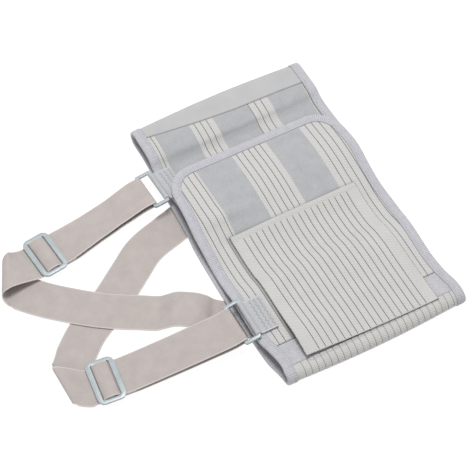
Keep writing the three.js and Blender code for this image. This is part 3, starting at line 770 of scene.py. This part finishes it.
def tab_frame(name):
    layer, along, loop, _ = tab_places[name]
    middle = distance_of(layer, along)
    ends = [band_frame(middle + share * strap_width, loop * binding_width) for share in (-0.5, 0.5)]
    across = unit(ends[0][1] + ends[1][1])
    normal = unit(np.cross(across, ends[1][0] - ends[0][0]))
    origin = (ends[0][0] + ends[1][0]) / 2 + normal * loop_height
    return origin, across, np.cross(normal, across), normal


def ring_frame(name):
    origin, across, along, normal = tab_frame(name)
    pitch = math.radians(tab_places[name][3])
    run = across * math.cos(pitch) + normal * math.sin(pitch)
    return origin - run * (ring_width - ring_bar) / 2, run, along, np.cross(run, along)


def slider_frame(name):
    reach, along, heading, pitch, _, _ = slider_places[name]
    h, p = math.radians(heading), math.radians(pitch)
    run = np.array([math.cos(h) * math.cos(p), math.sin(h) * math.cos(p), math.sin(p)])
    side = np.array([-math.sin(h), math.cos(h), 0])
    return strap_point(reach, along, slider_height), run, side, np.cross(run, side)


# Webbing: a ribbon through points that each state the direction across it

def bearing(degrees):
    return np.array([math.cos(math.radians(degrees)), math.sin(math.radians(degrees)), 0])


def rolled(across, roll):
    return unit(across + np.array([0, 0, math.tan(math.radians(roll))]))


def lower_run(rows):
    route = []
    for reach, along, heading, *raised in rows:
        layer, rise = raised or (0, 0)
        height = strap_thickness / 2 + layer * strap_pitch + rise * hump_height
        route.append((strap_point(reach, along, height), bearing(heading + 90)))
    return route


def fold_points(fold):
    reach, along, axis, skew, turn, radius = fold
    start = strap_point(reach, along, strap_thickness / 2)
    line, out = bearing(axis), bearing(axis - turn * 90)
    bend = radius * fold_radius
    drift = bend * math.tan(math.radians(skew))
    route = []
    for i in range(fold_steps + 1):
        angle = i / fold_steps * math.pi
        point = start + line * drift * angle + out * bend * math.sin(angle)
        point[2] += bend * (1 - math.cos(angle))
        width = 1 - fold_pinch * (0.4 + 0.6 * math.sin(angle) ** 2)
        route.append((point, line * turn * width))
    return route


# Levels of the strap's runs in a slider's frame, and its turns round the bars

level_run = -(slider_thickness + strap_thickness) / 2 - slider_air
level_tail = level_run - strap_pitch
level_back = level_run - 2 * strap_pitch
wrap = math.hypot(slider_centre_bar, slider_bar) / 2 + slider_air + strap_thickness / 2
crest = wrap + strap_thickness + 0.05
frame_edge = slider_width / 2
window_edge = frame_edge - slider_side_bar
lip = window_edge - strap_thickness / 2 - 0.35
ring_wrap = math.hypot(ring_bar, ring_thickness) / 2 + clearance + strap_thickness / 2
ring_outer_bar = -(ring_width - ring_bar) / 2


def placed(frame_axes, path):
    """Route points from pairs of place along and height in a frame."""
    origin, across, along, normal = frame_axes
    return [(origin + across * x + normal * z, -along) for x, z in path]


def through_slider(frame_axes):
    return placed(frame_axes, [
        (-frame_edge * 1.22, level_run),
        (-window_edge * 1.12, level_run),
        (-lip, -1.2),
        (-lip + 1.1, 1.5),
        (-wrap * 1.55, crest - wrap * 0.3),
        (0, crest),
        (wrap * 1.55, crest - wrap * 0.3),
        (lip - 1.9, 1.7),
        (lip - 0.9, -1.0),
        (window_edge * 1.12, level_run),
        (frame_edge * 1.1, level_run),
        (frame_edge * 1.45, level_run),
    ])


def back_to_slider(frame_axes):
    return placed(frame_axes, [
        (frame_edge * 1.9, level_back),
        (frame_edge * 1.22, level_back),
        (turn_edge, level_back),
        (turn_edge * 0.3, level_back),
        (-turn_edge * 0.3, level_back + 0.3),
        (-turn_edge * 0.62, level_back + 2.4),
        (-turn_edge * 0.6, -1.0),
        (-wrap * 0.9, wrap * 0.5),
        (0, wrap),
        (wrap * 0.7, wrap * 0.7),
        (wrap, 0),
        (wrap * 1.2, -wrap * 0.65),
        (turn_edge * 0.54, level_tail + wrap * 0.12),
        (turn_edge, level_tail),
        (frame_edge, level_tail),
        (tail_length, level_tail),
    ])


def round_ring(frame_axes):
    straight = [ring_width * 0.55, ring_width * 0.18]
    arc = [(ring_outer_bar + ring_wrap * math.cos(turn), ring_wrap * math.sin(turn)) for turn in half_turn]
    return placed(frame_axes, [(ring_outer_bar - x, ring_wrap) for x in straight] + arc
                  + [(ring_outer_bar - x, -ring_wrap) for x in reversed(straight)])


def between(start, end, roll, sag):
    route = []
    for share in (1 / 3, 2 / 3):
        point = start[0] + (end[0] - start[0]) * share - np.array([0, 0, sag * hump_height])
        route.append((point, rolled(start[1] + (end[1] - start[1]) * share, roll)))
    return route


def strap_route(name):
    roll, sag = slider_places[name][4:]
    seat = slider_frame(name)
    out, back, ring = through_slider(seat), back_to_slider(seat), round_ring(ring_frame(name))
    return (lower_run(lower_runs[name]) + fold_points(strap_folds[name]) + out
            + between(out[-1], ring[0], roll, sag) + ring + between(ring[-1], back[0], roll, sag) + back)


def ribbon_parameters(curve, spacing, turn, samples=9):
    """Places along a curve, close together in its bends."""
    values = [0.0]
    for span in range(curve.spans):
        u = (span + np.linspace(0, 1, samples)) / curve.spans
        length = np.linalg.norm(np.diff(curve(u), axis=0), axis=1).sum()
        ways = curve.direction(u)
        bend = np.degrees(np.arccos(np.clip((ways[:-1] * ways[1:]).sum(1), -1, 1))).sum()
        steps = max(1, math.ceil(length / spacing), math.ceil(bend / turn))
        values += [(span + (i + 1) / steps) / curve.spans for i in range(steps)]
    return np.array(values)


webbing_rim = np.array([0, 0.12, 0.4, 0.9, 1.6])
cut_end_share = 0.55


def ribbon_section(width, thickness, columns=22):
    """Shares across from -1 to 1 and the half thickness there, thin at the two woven edges."""
    half_width = width / 2
    rim = 1 - webbing_rim / half_width
    inner = np.linspace(-1, 1, columns - len(rim))[1:-1] * rim[-1]
    share = np.unique(np.round(np.concatenate([-rim, inner, rim]), 6))
    near = np.clip((1 - np.abs(share)) * half_width / (thickness * 0.75), 0, 1)
    half = thickness / 2 * np.maximum(np.sqrt(1 - (1 - near) ** 2), 0.12)
    return share, half


def ribbon(name, route, width, thickness, spacing=2.4, turn=9.0, pinched=0):
    """Webbing along a route, narrowed by the length of its across directions where it is pinched."""
    curve = Spline([point for point, _ in route])
    sides = np.array([across for _, across in route])
    u = ribbon_parameters(curve, spacing, turn)
    t = u * curve.spans
    first = np.minimum(t.astype(int), curve.spans - 1)
    across = sides[first] + (sides[first + 1] - sides[first]) * (t - first)[:, None]
    length = np.linalg.norm(across, axis=1)
    square = np.cross(curve.direction(u), across)
    stretch = np.linalg.norm(square, axis=1)
    normal = square / stretch[:, None]
    half_width = width / 2 * np.minimum(length, 1) ** pinched
    share, half = ribbon_section(width, thickness)
    grid = (len(u), len(share))
    middle = curve(u)[:, None] + across[:, None] * (share * (half_width / stretch)[:, None])[..., None]
    taper = np.ones((len(u), 1))
    taper[[0, -1]] = cut_end_share
    swell = normal[:, None] * (half * taper)[..., None]
    place = travelled(curve(u))
    piece = cloth_sheet(name, above_table(middle + swell), above_table(middle - swell),
                        np.broadcast_to(share * width / 2, grid), np.broadcast_to(place[:, None], grid))
    set_attribute(piece, "selvedge", np.tile(np.abs(np.concatenate([share, share[::-1]])), len(u)))
    face_outwards(piece)
    return piece, place[-1]


tab_turn = np.radians([-90, -115, -140, -165, -190, -215, -240, -265, -285])
tab_sink = 0.3
tab_fold_gap = 0.06
tab_stitch_rows = (12.4, 18.2, 24.0)
tab_stitch_swing = 1.5
tab_stitch_count = 15


def tab_route(name):
    """A tab runs from its sewn end round the ring bar and back over itself."""
    frame_axes = tab_frame(name)
    radius = loop_inside + tab_cloth / 2
    low = -loop_outside + tab_cloth / 2 - tab_sink
    high = low + tab_cloth + tab_fold_gap
    path = [(tab_length, low), (tab_length * 0.6, low), (tab_length * 0.28, low)]
    path += [(radius * math.cos(turn), radius * math.sin(turn)) for turn in tab_turn]
    path += [(loop_outside + 0.1, high + 1.1), (loop_outside + tab_wedge + 0.6, high + 0.12),
             (tab_length * 0.45, high), (tab_length * 0.7, high), (tab_length, high)]
    return frame_axes, placed(frame_axes, path), high


def tab_stitches(name, frame_axes, high):
    """Three rows of zigzag stitches over the tab's sewn end."""
    origin, across, along, normal = frame_axes
    places = np.linspace(2, strap_width - 2, tab_stitch_count + 1)[:, None] - strap_width / 2
    swing = tab_stitch_swing * np.where(np.arange(tab_stitch_count + 1) % 2, 1, -1)[:, None]
    seat = origin + normal * (high + tab_cloth / 2 - 0.05) + along * places
    rows = [seat + across * (row + swing) for row in tab_stitch_rows]
    starts = np.concatenate([row[:-1] for row in rows])
    ends = np.concatenate([row[1:] for row in rows])
    return stitches(f"tab_{name}_stitches", starts, ends, np.broadcast_to(normal, starts.shape), 0.28, 0.3)


# Moulded frames, modelled flat and then set in place

def apply_modifier(piece, kind, **settings):
    modifier = piece.modifiers.new(kind.lower(), kind)
    for key, value in settings.items():
        setattr(modifier, key, value)
    clear_selection()
    bpy.context.view_layer.objects.active = piece
    piece.select_set(True)
    bpy.ops.object.modifier_apply(modifier=modifier.name)


def rounded_block(name, size, corner, segments):
    """A block whose four upright edges are rounded."""
    clear_selection()
    bpy.ops.mesh.primitive_cube_add(size=1, location=(0, 0, 0))
    block = bpy.context.object
    block.name = name
    block.dimensions = [side * METRE for side in size]
    bpy.ops.object.transform_apply(location=False, rotation=False, scale=True)
    bpy.ops.object.mode_set(mode="EDIT")
    bpy.ops.mesh.select_mode(type="EDGE")
    bpy.ops.mesh.select_all(action="DESELECT")
    bpy.ops.object.mode_set(mode="OBJECT")
    for edge in block.data.edges:
        ends = [block.data.vertices[v].co for v in edge.vertices]
        edge.select = abs(ends[0].z - ends[1].z) > METRE / 2
    bpy.ops.object.mode_set(mode="EDIT")
    bpy.ops.mesh.bevel(offset=corner * METRE, segments=segments, affect="EDGES")
    bpy.ops.object.mode_set(mode="OBJECT")
    return block


def moulded_frame(name, size, corner, window_length, windows, frame_axes, rounding):
    """A frame with windows, each a place along it and a width, that is then set in its axes."""
    body = rounded_block(name, size, corner, 8)
    for i, (x, width) in enumerate(windows):
        cutter_size = (width, window_length, size[2] * 3)
        cutter = rounded_block(f"{name}_window_{i}", cutter_size, window_corner, 5)
        cutter.location.x = x * METRE
        bpy.context.view_layer.update()
        apply_modifier(body, "BOOLEAN", operation="DIFFERENCE", solver="EXACT", object=cutter)
        bpy.data.objects.remove(cutter)
    apply_modifier(body, "BEVEL", width=rounding * METRE, segments=3, limit_method="ANGLE",
                   angle_limit=math.radians(50))
    origin, across, along, normal = frame_axes
    turn = Matrix((across, along, normal)).transposed().to_4x4()
    body.data.transform(Matrix.Translation(Vector((origin + belt_place) * METRE)) @ turn)
    bpy.ops.object.shade_smooth_by_angle(angle=math.radians(35))
    return body


# Materials

class Wire:
    """A socket of a material, so that sums on it are written as sums."""

    def __init__(self, finish, socket):
        self.finish = finish
        self.socket = socket

    def sum(self, operation, *values):
        return self.finish.node("ShaderNodeMath", {"operation": operation}, dict(enumerate(values)))

    def __add__(self, other):
        return self.sum("ADD", self, other)

    def __sub__(self, other):
        return self.sum("SUBTRACT", self, other)

    def __rsub__(self, other):
        return self.sum("SUBTRACT", other, self)

    def __mul__(self, other):
        return self.sum("MULTIPLY", self, other)

    __radd__ = __add__
    __rmul__ = __mul__

    def wave(self, length):
        """A wave from 0 to 1 over places in millimetres."""
        return (self * (2 * math.pi / length)).sine() * 0.5 + 0.5

    def sine(self):
        return self.sum("SINE", self)

    def clipped(self):
        return self.finish.node("ShaderNodeClamp", {}, {"Value": self})

    def between(self, low, high):
        return self.finish.node("ShaderNodeMapRange", {"interpolation_type": "SMOOTHSTEP"},
                                {"Value": self, "From Min": low, "From Max": high})


class Finish:
    """A material whose nodes are added one line at a time."""

    def __init__(self, name):
        self.material = bpy.data.materials.new(name)
        self.material.use_nodes = True
        self.tree = self.material.node_tree
        self.shader = self.tree.nodes["Principled BSDF"]

    def node(self, kind, settings, sockets, output=0):
        made = self.tree.nodes.new(kind)
        for key, value in settings.items():
            setattr(made, key, value)
        for key, value in sockets.items():
            self.feed(made.inputs[key], value)
        return Wire(self, made.outputs[output])

    def feed(self, socket, value):
        if isinstance(value, Wire):
            self.tree.links.new(value.socket, socket)
        else:
            socket.default_value = value

    def mix(self, factor, low, high):
        return self.node("ShaderNodeMix", {"data_type": "RGBA"}, {0: factor, 6: low, 7: high}, 2)

    def tinted(self, cloth, strength, mask, code):
        return self.mix(mask * strength, cloth, shade(code))

    def cloth(self):
        """Places across and along the cloth, in millimetres."""
        uv = self.node("ShaderNodeUVMap", {"uv_map": "cloth"}, {})
        parts = self.tree.nodes.new("ShaderNodeSeparateXYZ")
        self.tree.links.new(uv.socket, parts.inputs[0])
        return uv, *(Wire(self, parts.outputs[i]) * (1 / METRE) for i in (0, 1))

    def noise(self, place, size, detail=2.0, roughness=0.5):
        """Soft noise whose patches are about size millimetres across."""
        return self.node("ShaderNodeTexNoise", {}, {
            "Vector": place, "Scale": 1 / (size * METRE), "Detail": detail, "Roughness": roughness})

    def mask(self, name):
        return self.node("ShaderNodeAttribute", {"attribute_name": name}, {}, "Fac")

    def set(self, **values):
        for key, value in values.items():
            self.feed(self.shader.inputs[key.replace("_", " ")], value)

    def bump(self, height, depth):
        """Relief of the surface, from a height of 0 to 1 that stands for depth millimetres."""
        relief = {"Strength": 1.0, "Distance": depth * METRE, "Height": height}
        self.set(Normal=self.node("ShaderNodeBump", {}, relief))

    def woven(self, colour, height, depth, roughness=0.9, sheen=0.1, sheen_roughness=0.5, specular=0.25):
        self.set(Base_Color=colour, Roughness=roughness, Sheen_Weight=sheen,
                 Sheen_Roughness=sheen_roughness, Specular_IOR_Level=specular)
        self.bump(height, depth)
        return self.material


def shade(code):
    """A colour from its screen code, in linear light."""
    parts = [int(code[i:i + 2], 16) / 255 for i in (0, 2, 4)]
    return (*[p / 12.92 if p <= 0.04045 else ((p + 0.055) / 1.055) ** 2.4 for p in parts], 1)


line_colour = "3A3936"
# Colour of the painted shade laid on the undersides of the cloth
underside_shade_colour = "8C8C90"


def cream_weave(u, v):
    """Diagonal twill over a fine cross rib, from 0 to 1."""
    return (u * 0.62 + v).wave(2.7) * 0.6 + v.wave(0.95) * 0.4


def panel_cloth():
    finish = Finish("loop_and_rib_cloth")
    uv, u, v = finish.cloth()
    fine = finish.noise(uv, 1.9, 3, 0.75)
    patches = finish.noise(uv, 14, 3, 0.6)
    pile = (finish.mask("pile") + (finish.noise(uv, 1.6, 2, 0.7) - 0.5) * 0.9).between(0.32, 0.68)
    line = finish.mask("line").between(0.25, 0.85)
    weave = cream_weave(u, v)
    cream = finish.mix((weave * 0.75 + fine * 0.7 - 0.2).clipped(), shade("AEADAB"), shade("D6D5D3"))
    grey = finish.mix((fine * 1.1 + patches * 0.5 - 0.35).clipped(), shade("96979A"), shade("C0C1C3"))
    cloth = finish.mix(pile, cream, grey)
    cloth = finish.tinted(cloth, 0.95, line, line_colour)
    # Painted shade in the seam grooves and painted shadow beside the tension panel's edges
    cloth = finish.tinted(cloth, 0.85, finish.mask("seam_and_shade").clipped(), "585858")
    # Painted shade on the underside
    cloth = finish.tinted(cloth, 0.8, finish.mask("underside_shade"), underside_shade_colour)
    height = weave * (1 - pile) * 0.5 + fine * (pile * 0.8 + 0.2)
    return finish.woven(cloth, height, 0.35, 0.93, 0.15, 0.6, 0.2)


def ribbed_elastic():
    finish = Finish("ribbed_elastic")
    uv, u, v = finish.cloth()
    fine = finish.noise(uv, 1.8, 2, 0.7)
    patches = finish.noise(uv, 22, 2, 0.5)
    line = finish.mask("line").between(0.25, 0.85)
    weave = cream_weave(u, v)
    tone = (weave * 0.7 + fine * 0.5 + patches * 0.3 - 0.25).clipped()
    cloth = finish.mix(tone, shade("B1B0AE"), shade("D6D5D2"))
    cloth = finish.tinted(cloth, 0.95, line, line_colour)
    # Painted shade in the seam grooves and the hem, and painted shadow beside the tension panel's near edge
    cloth = finish.tinted(cloth, 0.5, finish.mask("seam_and_shade").clipped(), "8C8C89")
    # Painted shade on the underside
    cloth = finish.tinted(cloth, 0.8, finish.mask("underside_shade"), underside_shade_colour)
    return finish.woven(cloth, weave * 0.7 + fine * 0.3, 0.3)


def plain_elastic():
    finish = Finish("plain_elastic")
    uv, u, v = finish.cloth()
    fine = finish.noise(uv, 1.7, 3, 0.75)
    patches = finish.noise(uv, 25, 2, 0.5)
    height = v.wave(1.1) * 0.5 + u.wave(1.4) * 0.2 + fine * 0.5
    cloth = finish.mix((height * 0.8 + patches * 0.4 - 0.1).clipped(), shade("A6A6A7"), shade("C6C6C7"))
    # Painted shade in the seam grooves
    cloth = finish.tinted(cloth, 0.6, finish.mask("seam_and_shade").clipped(), "848486")
    # Painted shade on the underside
    cloth = finish.tinted(cloth, 0.8, finish.mask("underside_shade"), underside_shade_colour)
    return finish.woven(cloth, height, 0.3)


def binding_cloth(name, knit):
    """Knitted tape. A share of knit shows its ribs and paints shade along the tape's inner edge; without
    knit, the underside gets painted shade.
    """
    finish = Finish(name)
    uv, u, _ = finish.cloth()
    fine = finish.noise(uv, 1.9, 2, 0.8)
    patches = finish.noise(uv, 9, 2, 0.5)
    rib = (u * (2 * math.pi / 2.6) + fine * 3).sine() * 0.5 + 0.5
    height = fine * (1 - knit) + rib * knit
    cloth = finish.mix((height * 1.3 + patches * 0.4 - 0.4).clipped(), shade("9E9EA4"), shade("D3D3D8"))
    if knit:
        # Painted shade along the tape's inner edge, where it meets the cloth
        cloth = finish.tinted(cloth, 0.55, finish.mask("tape_edge_shade").clipped(), "77767C")
    else:
        # Painted shade on the underside
        cloth = finish.tinted(cloth, 0.8, finish.mask("underside_shade"), underside_shade_colour)
    return finish.woven(cloth, height, 0.6, 0.92, 0.25, specular=0.2)


def webbing(name, dark, light, edge):
    finish = Finish(name)
    uv, u, v = finish.cloth()
    fine = finish.noise(uv, 1.6, 2, 0.75)
    patches = finish.noise(uv, 18, 3, 0.55)
    rib = (v * (2 * math.pi / 1.3) + (fine - 0.5) * 1.6).sine() * 0.5 + 0.5
    height = rib * 0.4 + u.wave(0.9) * 0.15 + fine * 0.45
    cloth = finish.mix((height + patches * 0.5 - 0.27).clipped(), shade(dark), shade(light))
    cloth = finish.tinted(cloth, 0.7, finish.mask("selvedge").between(0.93, 0.965), edge)
    return finish.woven(cloth, height, 0.3, 0.88, 0.15)


def thread(name, dark, light):
    finish = Finish(name)
    place = finish.node("ShaderNodeTexCoord", {}, {}, "Object")
    grain = finish.noise(place, 0.5, 2, 0.6)
    finish.set(Base_Color=finish.mix(grain, shade(dark), shade(light)), Roughness=0.7,
               Specular_IOR_Level=0.3)
    finish.bump(grain, 0.1)
    return finish.material


def moulded_plastic():
    finish = Finish("moulded_plastic")
    place = finish.node("ShaderNodeTexCoord", {}, {}, "Object")
    haze = finish.noise(place, 9, 3, 0.6)
    grain = finish.noise(place, 0.6, 2, 0.6)
    colour = finish.mix(haze, shade("98A3A7"), shade("B7C0C3"))
    finish.set(Base_Color=colour, Roughness=grain * 0.12 + 0.24, Specular_IOR_Level=0.5,
               Coat_Weight=0.25, Coat_Roughness=0.2)
    finish.bump(grain, 0.03)
    return finish.material


# The object

finishes = {
    "loop_cloth": panel_cloth(),
    "ribbed_elastic": ribbed_elastic(),
    "plain_elastic": plain_elastic(),
    "binding_cloth": binding_cloth("binding_cloth", 0.3),
    "patch_cloth": binding_cloth("patch_cloth", 0),
    "strap_webbing": webbing("strap_webbing", "A29996", "CBC3BF", "D8D2CF"),
    "tab_webbing": webbing("tab_webbing", "A3A5A7", "C8CACC", "D0D2D4"),
    "moulded_plastic": moulded_plastic(),
    "thread": thread("thread", "B0AFB8", "DADAE0"),
    # Tab thread in its own grey, darkened further to paint the shade of the dents round the stitches
    "tab_thread_and_dent_shade": thread("tab_thread_and_dent_shade", "8E8F94", "ACADB1"),
}


def hand_over(piece, material, slot, *nodes):
    """Gives a piece its material and its body, and hides the CAD nodes that it replaces. The slot is not
    used.
    """
    piece.data.materials.clear()
    piece.data.materials.append(finishes[material])
    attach(piece, "root")
    if nodes:
        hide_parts(*nodes)
    return piece


def panel_columns(lines, spans, widest):
    return columns_for(*column_reach, lines, [border for span in spans for border in span], widest)


column_reach = (-16, 252)
seam_gap = clearance / 2
plain_columns = panel_columns([], [], 4.0)
front_columns = panel_columns(front_lines, front_pile, 2.6)
inner_columns = panel_columns(inner_lines, inner_pile, 3.0)
side_columns = panel_columns(side_lines, [], 1.9)

# Panels: start, end, columns, spacing, lines, pile, further settings, material and slot
band_panels = {
    "front_left_panel": (0, seams["far_on_top"], inner_columns, 2.4, inner_lines, inner_pile,
                         {"waves": (0, 1)}, "loop_cloth", "loop_cloth"),
    "far_band": (seams["far_on_top"], seams["far_below"], plain_columns, 2.4, (), (),
                 {"waves": (1, 0)}, "plain_elastic", "plain_elastic"),
    "back_panel": (seams["far_below"], seams["side"], plain_columns, 4.0, (), (),
                   {}, "plain_elastic", "loop_cloth"),
    "side_elastic": (seams["side"], seams["patch_start"], side_columns, 2.0, side_lines, (),
                     {"strength": 0.75}, "ribbed_elastic", "ribbed_elastic"),
    "side_patch": (seams["patch_start"], seams["patch_end"], plain_columns, 2.0, (), (),
                   {}, "patch_cloth", "binding_cloth"),
    "front_right_panel": (seams["patch_end"], band_length, front_columns, 2.4, front_lines, front_pile,
                          {"below_tension": True}, "loop_cloth", "loop_cloth"),
}
for name, (start, end, *form, more, material, slot) in band_panels.items():
    first = start + (seam_gap if start else panel_inset)
    last = end - (seam_gap if end < band_length else panel_inset)
    hand_over(band_piece(name, first, last, *form, **more), material, slot, name)
    (end - start) * METRE

binding, binding_line, binding_place = edge_binding()
hand_over(binding, "binding_cloth", "binding_cloth", "edge_binding")
sewn = [zigzag_along(binding_line, binding_place, depth=9.6, swing=1.7, pitch=1.7, offset=side * 2.02)
        for side in (1, -1)]
sewn_rows = (np.concatenate(parts) for parts in zip(*sewn))
binding_thread = stitches("binding_stitches", *sewn_rows, radius=0.2, arch=0.22)
hand_over(binding_thread, "thread", "binding_cloth")

tension = hand_over(tension_panel(), "ribbed_elastic", "ribbed_elastic", "tension_panel")
(tension_to - tension_from) * METRE

opening = (slider_width - slider_centre_bar) / 2 - slider_side_bar
opening_middle = (slider_centre_bar + opening) / 2
slider_windows = [(-opening_middle, opening), (opening_middle, opening)]
ring_windows = [(0, ring_width - 2 * ring_bar)]

for name in ("far", "near"):
    axes, route, top = tab_route(name)
    tab, tab_flat = ribbon(f"tab_{name}_webbing", route, strap_width, tab_cloth, spacing=1.6)
    hand_over(tab, "tab_webbing", "tab_webbing", f"tab_{name}")
    hand_over(tab_stitches(name, axes, top), "tab_thread_and_dent_shade", "tab_webbing")
    strap, strap_flat = ribbon(f"strap_{name}_webbing", strap_route(name), strap_width,
                               strap_thickness, pinched=1)
    hand_over(strap, "strap_webbing", "strap_webbing", f"strap_{name}")
    ring = moulded_frame(f"ring_{name}_frame", (ring_width, ring_length, ring_wire), ring_corner,
                         ring_window, ring_windows, ring_frame(name), ring_rounding)
    hand_over(ring, "moulded_plastic", "moulded_plastic", f"ring_{name}")
    slider = moulded_frame(f"slider_{name}_frame", (slider_width, slider_length, slider_thickness),
                           slider_corner, slider_window, slider_windows, slider_frame(name), slider_rounding)
    hand_over(slider, "moulded_plastic", "moulded_plastic", f"slider_{name}")


# Table and light

def add_floor(size, grey, glow):
    clear_selection()
    bpy.ops.mesh.primitive_plane_add(size=size, location=(0, 0, 0))
    floor = bpy.context.object
    floor.name = "table_top"
    finish = Finish("table_top")
    finish.set(Base_Color=(grey, grey, grey, 1), Roughness=0.8, Specular_IOR_Level=0.1,
               Emission_Color=(1, 1, 1, 1), Emission_Strength=glow)
    floor.data.materials.append(finish.material)


def add_area_light(name, place, size, power):
    data = bpy.data.lights.new(name, "AREA")
    data.shape = "DISK"
    data.size = size
    data.energy = power
    light = bpy.data.objects.new(name, data)
    light.location = place
    light.rotation_euler = (-Vector(place)).to_track_quat("-Z", "Y").to_euler()
    bpy.context.scene.collection.objects.link(light)


def add_sky(strength):
    world = bpy.data.worlds.new("room")
    world.use_nodes = True
    background = world.node_tree.nodes["Background"]
    background.inputs["Color"].default_value = (1, 1, 1, 1)
    background.inputs["Strength"].default_value = strength
    bpy.context.scene.world = world


add_floor(size=8, grey=0.17, glow=0.91)
add_area_light("key_light", place=(0.15, 0.45, 2.7), size=1.2, power=54)
add_sky(strength=0.5)
bpy.context.scene.view_settings.view_transform = "Standard"
